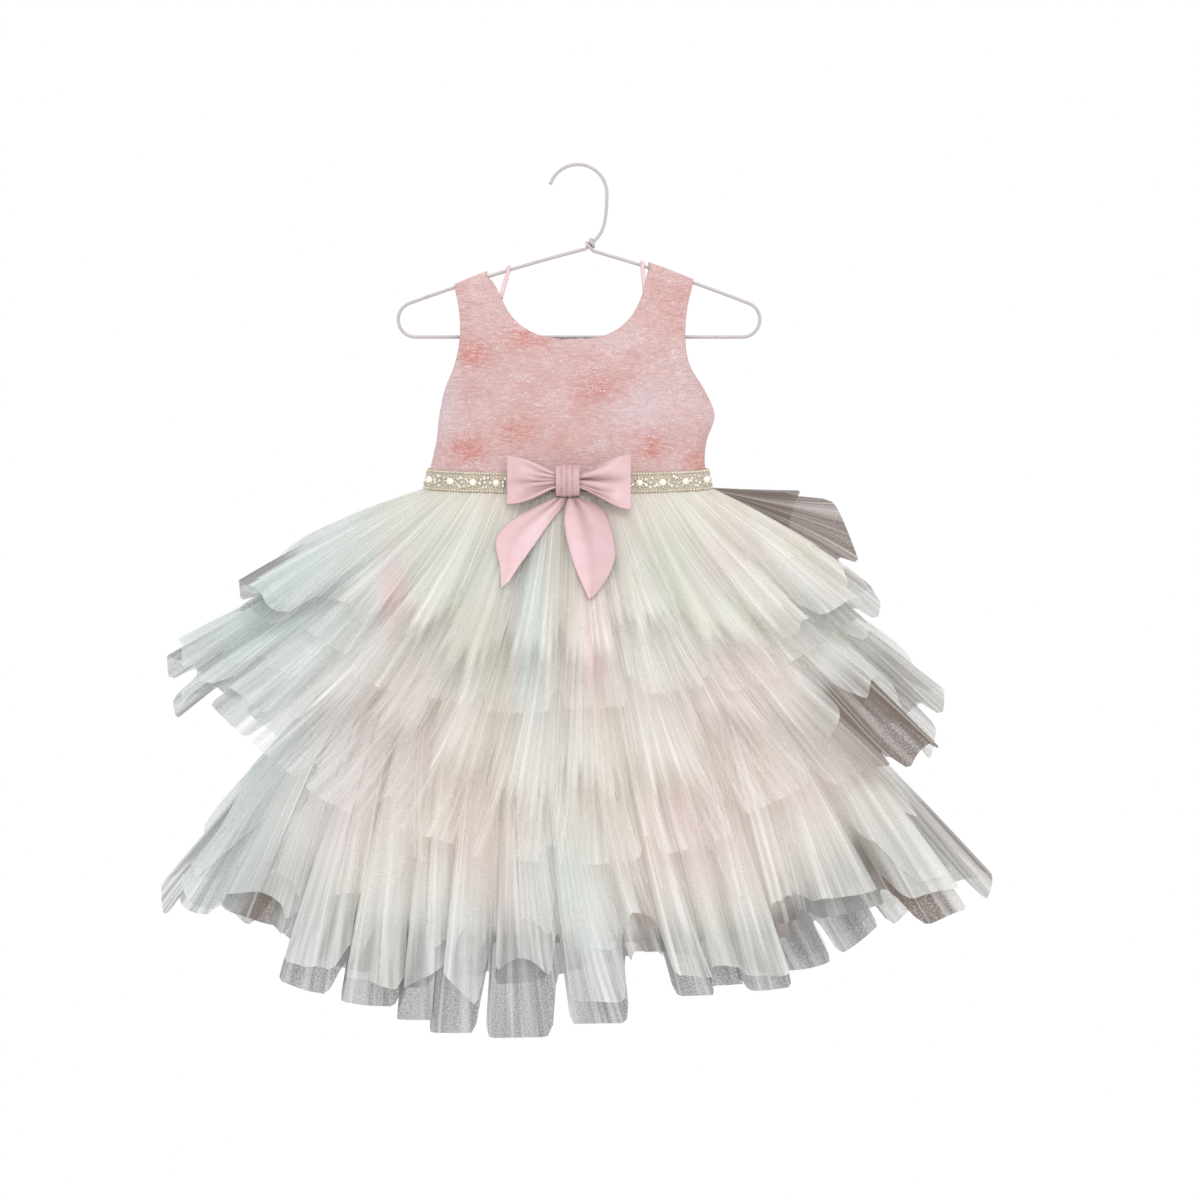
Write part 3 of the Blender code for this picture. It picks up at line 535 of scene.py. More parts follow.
@dataclass(frozen=True)
class Tulle:
    """Crisp net: a see-through shader whose share of threads runs in streaks down the fall.

    Its colour is the piece's tint with streaks 1 / streaks metres apart, white lines 1 / lines metres apart,
    and broad streaks that turn it whiter. White specks, painted glints of its glitter, lie where small cells
    have their middles. Where the piece's weight w is under 1 the cover is w + 4 w (1 - w) (s - 0.5) of
    itself, s being the streak's share, so that a hem thins out unevenly, thread by thread.

    cover is the share of threads in its thickest streaks and uneven how much less the thinnest have, lined is
    the strength of its lines, grain how unevenly single threads cover, through the share of light that a
    thread lets through, and glitter the strength of its painted glints.
    """

    name: str
    cover: float
    uneven: float
    streaks: float = 190.0
    lines: float = 330.0
    lined: float = 0.75
    grain: float = 0.06
    through: float = 0.5
    glitter: float = 0.5
    white: Colour = paint(255, 254, 252)
    line: Colour = paint(255, 254, 253)

    def material(self) -> Material:
        """Builds the net's material."""
        graph = Graph(self.name)
        streak = graph.noise(graph.on_cut(self.streaks, 5.0), detail=2.0)
        thread = graph.noise(graph.on_cut(900.0, 700.0), detail=0.0)
        broad = graph.noise(graph.on_cut(70.0, 1.5), detail=1.0)
        tint = graph.mix(graph.colour_of("tint"), self.white, graph.ramp(broad, 0.52, 0.7, 0.0, 0.6))
        shade = graph.swing(streak, 0.90, 1.0)
        grey = graph.add("CombineColor", {0: shade, 1: shade, 2: shade}).outputs[0]
        fine = graph.ramp(graph.noise(graph.on_cut(self.lines, 2.0), detail=1.0), 0.57, 0.66)
        colour = graph.mix(graph.mix(tint, grey, 1.0, "MULTIPLY"), self.line,
                           graph.times(fine, self.lined))
        # Painted glints: white specks of glitter in the colour.
        speck = graph.ramp(graph.cells(graph.on_cut(330.0, 330.0), flat=True), 0.10, 0.05)
        bright = graph.mix(colour, (1.0, 1.0, 1.0), graph.times(speck, self.glitter))
        cloth = graph.principled({"Base Color": bright, "Roughness": 0.55, "Specular IOR Level": 0.25})
        lit = graph.add("BsdfTranslucent", {"Color": bright}).outputs[0]
        body = graph.add("MixShader", {0: self.through, 1: cloth, 2: lit}).outputs[0]
        cover = graph.plus(graph.swing(streak, self.cover - self.uneven, self.cover),
                          graph.swing(thread, -self.grain, self.grain))
        cover = graph.plus(cover, graph.times(fine, 0.25 * self.lined))
        weight = graph.value_of("weight")
        thin = graph.times(graph.times(weight, graph.minus(1.0, weight)), graph.swing(streak, -2.0, 2.0))
        cover = graph.times(cover, graph.plus(weight, thin))
        cover = graph.ramp(cover, 0.0, 0.96, 0.0, 0.96)
        clear = graph.add("BsdfTransparent").outputs[0]
        return graph.finish(graph.add("MixShader", {0: cover, 1: clear, 2: body}).outputs[0])


@dataclass(frozen=True)
class Brocade:
    """Brushed floral brocade: soft clouds of rose, lilac and coral under short level strokes and glitter,
    with painted glints on the glitter's specks.

    The blooms' share is kept at the points, and their petals and the fine swirls are bands of even height in
    a cloud.
    """

    base: Colour = paint(200, 170, 168)
    rose: Colour = paint(196, 155, 151)
    lilac: Colour = paint(204, 184, 190)
    bloom: Colour = paint(192, 118, 109)
    pale: Colour = paint(222, 198, 194)
    line: Colour = paint(178, 128, 122)
    dark: Colour = paint(172, 130, 127)
    glint: Colour = paint(250, 244, 244)

    def material(self) -> Material:
        """Builds the brocade's material."""
        graph = Graph("bodice_brocade")
        place = graph.on_object((1.0, 0.35, 1.0))
        cloud = graph.noise(place, 34.0, 4.0)
        other = graph.noise(graph.on_object((1.0, 1.0, 1.7)), 55.0, 5.0)
        stroke = graph.noise(graph.on_object((1.0, 1.0, 4.5)), 170.0, 5.0)
        colour = graph.mix(self.base, self.rose, graph.ramp(cloud, 0.42, 0.66))
        colour = graph.mix(colour, self.lilac, graph.ramp(other, 0.55, 0.72, 0.0, 0.45))
        colour = graph.mix(colour, self.lilac, graph.times(graph.value_of("lilac"), 0.8))
        bands, rings = (graph.maths("PINGPONG", graph.times(other, many), 0.5) for many in (7.0, 6.0))
        petal = graph.ramp(bands, 0.1, 0.4, 0.35, 1.0)
        colour = graph.mix(colour, self.bloom, graph.times(graph.value_of("bloom"), petal))
        swirl = graph.ramp(rings, 0.14, 0.02, 0.0, 0.22)
        colour = graph.mix(colour, self.line, swirl)
        colour = graph.mix(colour, self.pale, graph.ramp(stroke, 0.52, 0.68, 0.0, 0.55))
        colour = graph.mix(colour, self.dark, graph.ramp(stroke, 0.46, 0.32, 0.0, 0.4))
        speck = graph.ramp(graph.cells(graph.on_object(), 420.0), 0.24, 0.12)
        glitter = graph.times(speck, graph.ramp(other, 0.45, 0.6))
        # Painted glints: the glint colour on the glitter's specks, over their real gloss.
        colour = graph.mix(colour, self.glint, graph.times(glitter, 0.8))
        height = graph.plus(stroke, graph.minus(graph.times(petal, 0.6), swirl))
        return graph.surface({
            "Base Color": colour, "Roughness": graph.ramp(glitter, 0.0, 1.0, 0.62, 0.25),
            "Specular IOR Level": 0.35, "Sheen Weight": 0.25, "Normal": graph.bump(height, 0.0009, 0.8)})


@dataclass(frozen=True)
class Satin:
    """Ribbon satin: a soft gloss over threads that run along the ribbon, with a lilac cast in places, and
    painted shade, darker by the share kept at the points as the crease value: in creases, near the knot and
    on one tail."""

    name: str
    colour: Colour
    cast: Colour
    roughness: float = 0.34
    # Painted shade colour for creases, the knot and the shaded tail.
    crease_shade: Colour = paint(128, 86, 90)

    def material(self) -> Material:
        """Builds the satin's material."""
        graph = Graph(self.name)
        thread = graph.noise(graph.on_cut(1500.0, 60.0), detail=2.0)
        cloud = graph.noise(graph.on_object(), 26.0, 2.0)
        colour = graph.mix(self.colour, self.cast, graph.ramp(cloud, 0.4, 0.62))
        # Painted shade: the crease value darkens the satin towards its painted shade colour.
        colour = graph.mix(colour, self.crease_shade, graph.times(graph.value_of("crease"), 0.75))
        return graph.surface({
            "Base Color": colour,
            "Roughness": graph.swing(thread, self.roughness - 0.04, self.roughness + 0.06),
            "Specular IOR Level": 0.5, "Sheen Weight": 0.3, "Sheen Roughness": 0.4,
            "Normal": graph.bump(thread, 0.0002, 0.5)})


@dataclass(frozen=True)
class Lining:
    """Plain woven lining: a fine weave from two waves across each other, in a blush that clouds a little, and
    a painted grey shade that deepens evenly from clear_z down to hem_z."""

    colour: Colour = paint(226, 211, 205)
    second: Colour = paint(232, 219, 214)
    # low is the painted shade that the lining reaches at hem_z.
    low: Colour = paint(150, 140, 137)
    hem_z: float = -0.645
    clear_z: float = -0.585

    def material(self) -> Material:
        """Builds the lining's material."""
        graph = Graph("underskirt_lining")
        cloud = graph.noise(graph.on_object((1.0, 1.0, 0.4)), 18.0, 3.0)
        waves = {"Vector": graph.on_cut(1.0, 1.0), "Scale": 420.0, "Distortion": 0.4}
        weave, weft = (graph.add("TexWave", waves, bands_direction=way).outputs[1] for way in "XY")
        height = graph.times(weave, weft)
        colour = graph.mix(self.colour, self.second, graph.ramp(cloud, 0.4, 0.65))
        z = graph.add("SeparateXYZ", {"Vector": graph.on_object()}).outputs["Z"]
        # Painted shade: towards the hem the blush turns to the grey low colour.
        colour = graph.mix(colour, self.low, graph.ramp(z, self.hem_z, self.clear_z, 0.85, 0.0))
        return graph.surface({
            "Base Color": colour, "Roughness": graph.ramp(height, 0.0, 1.0, 0.62, 0.5),
            "Specular IOR Level": 0.35, "Sheen Weight": 0.2, "Normal": graph.bump(height, 0.0001, 0.4)})


@dataclass(frozen=True)
class CoatedWire:
    """Vinyl-coated wire: a smooth gloss with faint waves where the coating is thicker, and dull scuffs."""

    colour: Colour = paint(184, 175, 175)
    scuffed: Colour = paint(164, 154, 154)

    def material(self) -> Material:
        """Builds the coating's material."""
        graph = Graph("wire_coating")
        wave = graph.noise(graph.on_object(), 60.0, 2.0)
        scuff = graph.ramp(graph.noise(graph.on_object(), 260.0, 4.0), 0.58, 0.7)
        colour = graph.mix(self.colour, self.scuffed, graph.times(scuff, 0.7))
        return graph.surface({
            "Base Color": colour, "Roughness": graph.ramp(scuff, 0.0, 1.0, 0.3, 0.55),
            "Specular IOR Level": 0.5, "Coat Weight": 0.3, "Coat Roughness": 0.2,
            "Normal": graph.bump(wave, 0.0003, 0.5)})


@dataclass(frozen=True)
class Bead:
    """A small hard bead: pearl, metal or cut stone, with a faint cloud in its colour."""

    name: str
    colour: Colour
    second: Colour
    roughness: float
    metal: float = 0.0
    coat: float = 0.0

    def material(self) -> Material:
        """Builds the bead's material."""
        graph = Graph(self.name)
        cloud = graph.noise(graph.on_object(), 140.0, 2.0)
        colour = graph.mix(self.colour, self.second, graph.ramp(cloud, 0.4, 0.6))
        return graph.surface({
            "Base Color": colour,
            "Roughness": graph.swing(cloud, self.roughness, self.roughness + 0.08),
            "Metallic": self.metal, "Specular IOR Level": 0.7, "Coat Weight": self.coat,
            "Coat Roughness": 0.08})


@dataclass(frozen=True)
class BandGround:
    """The band's ground: champagne cloth under tiny sewn beads, raised at the middles of small cells."""

    colour: Colour = paint(184, 174, 155)
    bead: Colour = paint(226, 220, 208)

    def material(self) -> Material:
        """Builds the ground's material."""
        graph = Graph("pearl_band_ground")
        cell = graph.cells(graph.on_cut(560.0, 560.0))
        top = graph.ramp(cell, 0.55, 0.1)
        colour = graph.mix(self.colour, self.bead, top)
        return graph.surface({
            "Base Color": colour, "Roughness": graph.ramp(top, 0.0, 1.0, 0.6, 0.25), "Metallic": 0.15,
            "Specular IOR Level": 0.6, "Normal": graph.bump(top, 0.0008, 0.9)})


# ---- the body's form ----
WAIST_Z, WAIST_SAG = -0.2640, 0.0055
UNDERARM_Z, WIRE_ROOM_Z = -0.2000, -0.1650
CENTRE_LOW, CENTRE_HIGH = -0.0093, -0.0040
FRONT_NECK_Z, BACK_NECK_Z = -0.1470, -0.1600
SKIRT_DROP = 0.3860
SKIRT_SIDE_GROWTH, SKIRT_FRONT_GROWTH, SKIRT_BACK_GROWTH = 0.0720, 0.0600, 0.0380
# The bodice from the waist up: height, its edges at the left and right, and its swell to front and back.
LEVELS = np.array((
    (-0.2640, -0.1276, 0.1090, 0.0330, 0.0270),
    (-0.2500, -0.1245, 0.1062, 0.0320, 0.0262),
    (-0.2320, -0.1205, 0.1080, 0.0303, 0.0250),
    (-0.2100, -0.1180, 0.1145, 0.0278, 0.0232),
    (-0.1900, -0.1135, 0.1060, 0.0245, 0.0205),
    (-0.1680, -0.1048, 0.0930, 0.0200, 0.0170),
    (-0.1450, -0.1005, 0.0897, 0.0145, 0.0125),
    (-0.1200, -0.1013, 0.0915, 0.0075, 0.0065),
    (-0.0980, -0.1052, 0.0965, 0.0000, 0.0000),
))
TOP_Z = float(LEVELS[-1, 0])


class Column(Enum):
    """A column of LEVELS."""

    LEFT = 1
    RIGHT = 2
    FRONT = 3
    BACK = 4


def level_value(z: Values, column: Column) -> Array:
    """A smooth value of a column of LEVELS at height z.

    Between two rows it is a cubic whose slopes there come from the rows on either side, and it is flat past
    the ends.

    Args:
        z: The heights.
        column: The column to read.

    Returns:
        A value for each height.
    """
    heights, values = LEVELS[:, 0], LEVELS[:, column.value]
    rows = np.arange(len(heights))
    low, high = np.maximum(rows - 1, 0), np.minimum(rows + 1, len(heights) - 1)
    slopes = (values[high] - values[low]) / (heights[high] - heights[low])
    z = np.clip(z, heights[0], heights[-1])
    k = np.clip(np.searchsorted(heights, z, side="right") - 1, 0, len(heights) - 2)
    span = heights[k + 1] - heights[k]
    t = (z - heights[k]) / span
    return ((2 * t**3 - 3 * t**2 + 1) * values[k] + (t**3 - 2 * t**2 + t) * span * slopes[k]
            + (3 * t**2 - 2 * t**3) * values[k + 1] + (t**3 - t**2) * span * slopes[k + 1])


def centre_x(z: Values) -> Array:
    """The panels' middle at height z."""
    return blend(CENTRE_LOW, CENTRE_HIGH, np.clip((z - WAIST_Z) / (FRONT_NECK_Z - WAIST_Z), 0.0, 1.0))


def half_width(level: Values, side: Values) -> Array:
    """The signed distance from the panels' middle to where their curve would reach the side seam."""
    held = np.minimum(level, UNDERARM_Z)
    edge = np.where(np.asarray(side) < 0, level_value(held, Column.LEFT), level_value(held, Column.RIGHT))
    return edge - centre_x(level)


def body_point(x: Array, z: Array, level: Array, facing: int) -> Array:
    """A point of the bodice's outer face.

    In plan each face is half an ellipse through the side seams, off the hanger's plane by its clearance, and
    the waist hangs lower in front and higher behind.

    Args:
        x: Distance to the right.
        z: Height.
        level: The height that the swell is read at.
        facing: FRONT or BACK.

    Returns:
        The points.
    """
    middle = centre_x(level)
    share = np.minimum((x - middle) / half_width(level, x - middle), 1.0)
    round_off = np.sqrt(1 - share * share)
    swell = level_value(level, Column.FRONT if facing < 0 else Column.BACK)
    sag = WAIST_SAG * round_off * np.clip((UNDERARM_Z - level) / (UNDERARM_Z - WAIST_Z), 0.0, 1.0)
    room = blend(SEAM / 2, WIRE / 2 + SEAM + CLOTH, eased((level - UNDERARM_Z) / (WIRE_ROOM_Z - UNDERARM_Z)))
    return stack(x, facing * (room + swell * round_off), z + facing * sag)


def waist_point(angle: Array, drop: Values) -> Array:
    """A point of the outer face at a drop below the waist seam: the bodice above it, the underskirt below.

    In plan it is two half ellipses, which grow evenly with the drop.

    Args:
        angle: Angles round the body.
        drop: How far below the waist seam.

    Returns:
        The points.
    """
    c, s = np.cos(angle), np.sin(angle)
    level = WAIST_Z - np.minimum(drop, 0.0)
    share = np.maximum(drop, 0.0) / SKIRT_DROP
    width = np.abs(half_width(level, c)) + SKIRT_SIDE_GROWTH * share
    front = level_value(level, Column.FRONT) + SKIRT_FRONT_GROWTH * share
    back = level_value(level, Column.BACK) + SKIRT_BACK_GROWTH * share
    sag = WAIST_SAG * np.abs(s) * (1 - share) * np.minimum((UNDERARM_Z - level) / (UNDERARM_Z - WAIST_Z), 1.0)
    facing = np.where(s < 0, -1.0, 1.0)
    return stack(centre_x(level) + width * c, facing * SEAM / 2 + np.where(s < 0, front, back) * s,
                 WAIST_Z - drop + facing * sag)


def moved_out(angle: Array, drop: Values, distance: Values) -> Array:
    """A point level with waist_point's, moved out square to its ring by a distance.

    Args:
        angle: Angles round the body.
        drop: How far below the waist seam.
        distance: How far out.

    Returns:
        The points.
    """
    near = 1e-4
    along = waist_point(angle + near, drop) - waist_point(angle - near, drop)
    outwards = unit(stack(along[..., 1], -along[..., 0], 0.0))
    return waist_point(angle, drop) + outwards * np.asarray(distance)[..., None]


# ---- tulle tiers ----
STIFF = 0.5               # a hem lift over this share is a stiff flap of the net alone


@dataclass(frozen=True)
class HemLift:
    """A place where a hem rides up, or hangs lower for a share under 0: its angle and spread in degrees, and
    the share of its drop that it loses."""

    angle: float
    spread: float
    share: float

    def at(self, angle: Array) -> Array:
        """How much of the drop this place takes at each angle: its share of a bell curve about its own."""
        return self.share * bell_round(angle, self.angle, self.spread)


@dataclass(frozen=True)
class Strands:
    """The columns of a panel from seam to seam, with one value for each.

    place counts crests from the first seam, spread is the share of the hem's length, crest runs from -1 in
    a trough to 1 on a crest, deep is the flute's depth as a share, and longest is how far down the profile
    the column reaches.
    """

    place: Array
    spread: Array
    crest: Array
    deep: Array
    longest: Array


@dataclass(frozen=True)
class TierForm:
    """A tier's form: its seam's drop below the waist, its flutes, and its hem's reach and drop on four sides.

    depth is how deep a flute is, tab how much longer a crest hangs than a trough, and gather how soon the
    flutes deepen below the seam. side_bend and end_bend say how far the profile hangs in before it stands
    out, at the sides and at the front and back. narrow and sudden say how narrow the hem's raised sides are
    and how suddenly they end. tabs lists the front hem's tabs from its left seam: x of the gap at each one's
    right, and the heights of the tab's end and of that gap. Phases are the corners of a flute, as shares of
    it, and the uneven shares are how far a flute's depth, width and length stray.
    """

    name: str
    attach: float
    flutes: int
    depth: float
    tab: float
    left: float
    right: float
    left_drop: float
    right_drop: float
    front: float
    front_drop: float
    back: float
    back_drop: float
    side_bend: float
    end_bend: float
    narrow: float
    sudden: float
    salt: float
    lifts: tuple[HemLift, ...] = ()
    tabs: tuple[tuple[float, float, float], ...] = ()
    crest_phases: tuple[float, ...] = (0.19, 0.42, 0.58, 0.81)
    depth_uneven: float = 0.25
    width_uneven: float = 0.25
    hem_uneven: float = 0.0090
    gather: float = 0.85

    def hem(self, angle: Array) -> Array:
        """The mean hem at an angle: two half ellipses in plan, higher at the sides, less each lift's bell.

        Args:
            angle: Angles round the body.

        Returns:
            The hem's points.
        """
        c, s = np.cos(angle), np.sin(angle)
        side_drop = np.where(c < 0, self.left_drop, self.right_drop)
        end_drop = np.where(s < 0, self.front_drop, self.back_drop)
        drop = blend(end_drop, side_drop, 1 - (1 - np.abs(c)**self.narrow)**self.sudden)
        for lift in self.lifts:
            drop = drop * (1 - lift.at(angle))
        middle, half = (self.right - self.left) / 2, (self.left + self.right) / 2
        return stack(middle + half * c, np.where(s < 0, self.front, self.back) * s, WAIST_Z - drop)

    def surface(self, angle: Array, t: Array) -> Array:
        """The tier without its flutes: a bent profile from its seam, t = 0, to its hem, t = 1.

        The profile is a curve with one handle, which lies under the half way point by the bend's share.

        Args:
            angle: Angles round the body.
            t: Shares of the way down, past 1 below the hem.

        Returns:
            The points.
        """
        start = moved_out(angle, self.attach, SEAM + CLOTH)
        end = self.hem(angle)
        bend = blend(self.end_bend, self.side_bend, np.cos(angle)**2)[..., None]
        way = end - start
        handle = start + way * np.concatenate([0.5 - bend, 0.5 - bend, 0.5 + bend], axis=-1)
        t = t[..., None]
        return start * (1 - t)**2 + handle * 2 * t * (1 - t) + end * t * t

    def normal(self, angle: Array, t: Array) -> Array:
        """The upward and outward normal: the slopes along the angle and down the fall, crossed."""
        near = 1e-3
        round_it = self.surface(angle + near, t) - self.surface(angle - near, t)
        down_it = self.surface(angle, t + near) - self.surface(angle, t - near)
        return unit(np.cross(down_it, round_it))

    def spread(self, facing: int, place: Array) -> Array:
        """The share of the hem's length at each place, counted in crests from the first seam.

        The troughs' middles are the tabs' gaps, or lie at the running sums of uneven widths.

        Args:
            facing: FRONT or BACK.
            place: Crests from the first seam.

        Returns:
            A share for each place.
        """
        count = self.flutes // 2
        if self.tabs and facing < 0:
            dense = evenly(400, np.pi, 2 * np.pi)
            hem = self.hem(dense)
            lengths = lengths_along(hem)
            gaps = np.interp(np.array(self.tabs)[:, 0], hem[:, 0], lengths / lengths[-1])
        else:
            widths = 1 + self.width_uneven * irregular(np.arange(count + 1), self.salt_on(facing) + 3)
            widths[[0, -1]] = 0.5
            gaps = np.cumsum(widths) / widths.sum()
        middles = np.concatenate([[0], np.arange(count) + 0.5, [count]])
        return np.interp(place, middles, np.concatenate([[0], gaps]))

    def reach_to(self, angle: Array, height: Array) -> Array:
        """How far down the profile a height is met, by the profile's slope at the hem, which is at 1."""
        start, end = moved_out(angle, self.attach, SEAM + CLOTH)[..., 2], self.hem(angle)[..., 2]
        bend = blend(self.end_bend, self.side_bend, np.cos(angle)**2)
        return 1 + (height - end) / ((end - start) * (1 - 2 * bend))

    def strands(self, facing: int, per_flute: int) -> Strands:
        """The columns of one panel.

        A flute's corners make a broad crest and a narrow trough. Between them the crest's value runs through
        a quarter sine, so that it turns smoothly, and the panel's length goes with a form of that sine that
        turns within a third of the way, from the trough's own length to the crest's.

        Args:
            facing: FRONT or BACK.
            per_flute: Columns for each flute.

        Returns:
            The columns, as Strands says.
        """
        count, salt = self.flutes // 2, self.salt_on(facing)
        corners = (np.arange(count)[:, None] + np.array(self.crest_phases)).ravel()
        corners = np.concatenate([[0.0], corners, [count]])
        heights = np.concatenate([[1], np.tile([1, -1, -1, 1], count), [1]])
        own = (corners + 0.75).astype(int)
        inner = own % count > 0
        deep = 1 + self.depth_uneven * irregular(own, salt)
        deep[[0, -1]] = 1.0
        angle = self.angles(facing, self.spread(facing, corners))
        slant = np.linalg.norm(self.hem(angle) - moved_out(angle, self.attach, 0.0), axis=-1)
        longest = 1 + (self.tab * heights + self.hem_uneven * inner * irregular(own, salt + 1)) / slant
        if self.tabs and facing < 0:
            table = np.array(self.tabs)
            ends = self.reach_to(angle, np.where(heights > 0, table[own, 1], table[own - 1, 2]))
            longest = np.where(inner, ends, longest)
        place = evenly(count * per_flute, 0.0, count)
        line = np.interp(place, corners, heights)
        crest = np.sin(np.pi / 2 * line)
        low, high = (np.interp(place, corners[heights == side], longest[heights == side]) for side in (-1, 1))
        turned = blend(crest, np.sin(np.pi / 2 * np.clip(2.2 * line, -1, 1)), 0.7)
        return Strands(place, self.spread(facing, place), crest, np.interp(place, corners, deep),
                       blend(low, high, 0.5 + 0.5 * turned))

    def salt_on(self, facing: int) -> float:
        """The number that makes one panel's unevenness its own."""
        return self.salt + (0 if facing < 0 else 5)

    def angles(self, facing: int, share: Array) -> Array:
        """The angle at each share of the hem's length from one side seam to the other."""
        first = math.pi if facing < 0 else 0.0
        dense = evenly(400, first, first + math.pi)
        hem = self.hem(dense)
        return np.interp(share * lengths_along(hem)[-1], lengths_along(hem), dense)


@dataclass(frozen=True)
class Patch(Spot):
    """A spot of the tulle that has a colour of its own; two marked ones are painted light and painted shade.
    """

    colour: Colour


CREAM = paint(246, 241, 231)
MINT = paint(234, 244, 244)
PINK = paint(249, 234, 235)
WARM = paint(246, 233, 224)
WHITE = paint(254, 253, 251)
SHADE = paint(234, 230, 220)
PALE_GREEN = paint(243, 247, 238)
ROSE = paint(248, 220, 224)
# Painted shade for the net: grey and taupe where shadow and darker things behind show through it.
GREY_SHADE = paint(128, 130, 131)
TAUPE_SHADE = paint(132, 117, 110)
PATCHES = (
    Patch(-0.300, -0.330, 0.160, 0.120, 1.0, MINT),
    Patch(-0.290, -0.480, 0.110, 0.100, 0.9, MINT),
    Patch(-0.300, -0.620, 0.090, 0.090, 0.8, MINT),
    Patch(0.290, -0.600, 0.110, 0.100, 0.5, MINT),
    Patch(0.270, -0.400, 0.090, 0.070, 0.5, MINT),
    Patch(-0.155, -0.360, 0.012, 0.035, 0.8, ROSE),
    Patch(-0.170, -0.470, 0.060, 0.060, 0.5, PINK),
    Patch(-0.200, -0.560, 0.050, 0.050, 0.3, PINK),
    Patch(-0.100, -0.560, 0.050, 0.080, 0.3, WARM),
    Patch(0.115, -0.345, 0.030, 0.035, 0.6, PINK),
    Patch(0.120, -0.440, 0.060, 0.040, 0.8, PINK),
    Patch(0.110, -0.560, 0.055, 0.060, 0.5, PINK),
    Patch(0.200, -0.520, 0.050, 0.050, 0.4, PINK),
    Patch(-0.055, -0.605, 0.026, 0.035, 0.4, ROSE),
    Patch(0.012, -0.410, 0.012, 0.050, 0.7, ROSE),
    Patch(-0.040, -0.400, 0.014, 0.090, 0.9, MINT),
    Patch(0.075, -0.350, 0.040, 0.100, 0.8, PALE_GREEN),
    Patch(-0.100, -0.340, 0.040, 0.060, 0.5, PALE_GREEN),
    Patch(-0.010, -0.500, 0.030, 0.100, 0.6, WHITE),
    Patch(0.020, -0.670, 0.030, 0.060, 0.8, WHITE),
    Patch(-0.125, -0.640, 0.035, 0.060, 0.7, WHITE),
    Patch(-0.010, -0.660, 0.220, 0.070, 0.5, MINT),
    # Painted light: lifts the tulle where the tier above shades it.
    Patch(0.068, -0.405, 0.030, 0.035, 0.8, WHITE),
    # Painted shade: darkens a spot that the lamps light more brightly.
    Patch(-0.084, -0.400, 0.030, 0.030, 0.7, SHADE),
    Patch(0.136, -0.375, 0.030, 0.030, 0.7, PALE_GREEN),
    Patch(-0.016, -0.595, 0.030, 0.035, 0.7, MINT),
)


def tulle_tint(points: Array, salt: float) -> Array:
    """The tulle's colour at each point.

    It is cream, with widths that fan out from above, clouds of pink and white, and the patches. The widths
    are a field over the slope x / z, lighter or greyer by turns, and the same one for a panel's three layers.

    Args:
        points: The layer's points.
        salt: Picks the clouds, one set for each panel.

    Returns:
        A colour for each point.
    """
    x, z = points[..., 0], points[..., 2]
    colour = np.broadcast_to(np.array(CREAM), points.shape)
    width = uneven_field(30 * x / z, 2.5 * z, math.floor(salt) + 0.5)[..., None]
    colour = blend(colour, np.array(WHITE), np.clip(width, 0, 1) * 0.8)
    colour = blend(colour, np.array(SHADE), np.clip(-width, 0, 1) * 0.7)
    cloud = uneven_field(x * 22 + 7, z * 9, salt)[..., None]
    colour = blend(colour, np.array(PINK), np.clip(cloud, 0, 1) * 0.6)
    colour = blend(colour, np.array(WHITE), np.clip(-cloud, 0, 1) * 0.5)
    for patch in PATCHES:
        colour = blend(colour, np.array(patch.colour), patch.at(points)[..., None])
    return colour


class Hem(Enum):
    """How the lower edge of a layer of tulle is cut."""

    NET = "net"
    VEIL = "veil"
    OVERLAY = "overlay"


@dataclass(frozen=True)
class Layer:
    """One layer of a tier and how its lower edge is cut.

    Its flutes are the form's times follow, and it lies out by out times their depth and by base metres.
    """

    hem: Hem
    follow: float
    out: float
    base: float


LAYERS = (
    Layer(Hem.VEIL, 1.0, 0.0, 0.0),
    Layer(Hem.NET, 0.35, -0.75, -0.0004),
    Layer(Hem.OVERLAY, 0.80, 0.35, 0.0004),
)


@dataclass(frozen=True)
class Bare:
    """A place where the ivory layers end well above the net: its angle and spread in degrees, how much
    shorter they are in metres, how far the net's painted shade turns from grey to taupe, and how much longer
    it hangs."""

    angle: float
    spread: float
    short: float
    taupe: float = 0.0
    long: float = 0.0

    def at(self, angle: Array) -> Array:
        """How much of this place is felt at each angle: a bell curve about its own."""
        return bell_round(angle, self.angle, self.spread)


@dataclass(frozen=True)
class Ends:
    """How a tier's layers end.

    low is the share of the way down at which the net turns to its painted grey shade, ragged is how unevenly
    the ivory ends in metres, fade is the share of its threads that an ivory layer keeps at its hem, and bare
    lists the places where the net shows below it.
    """

    low: float
    ragged: float
    fade: float
    bare: tuple[Bare, ...]

    def most(self, name: str, angle: Array) -> Array:
        """The greatest of one of the bare places' values at each angle."""
        return np.max([getattr(place, name) * place.at(angle) for place in self.bare], axis=0)


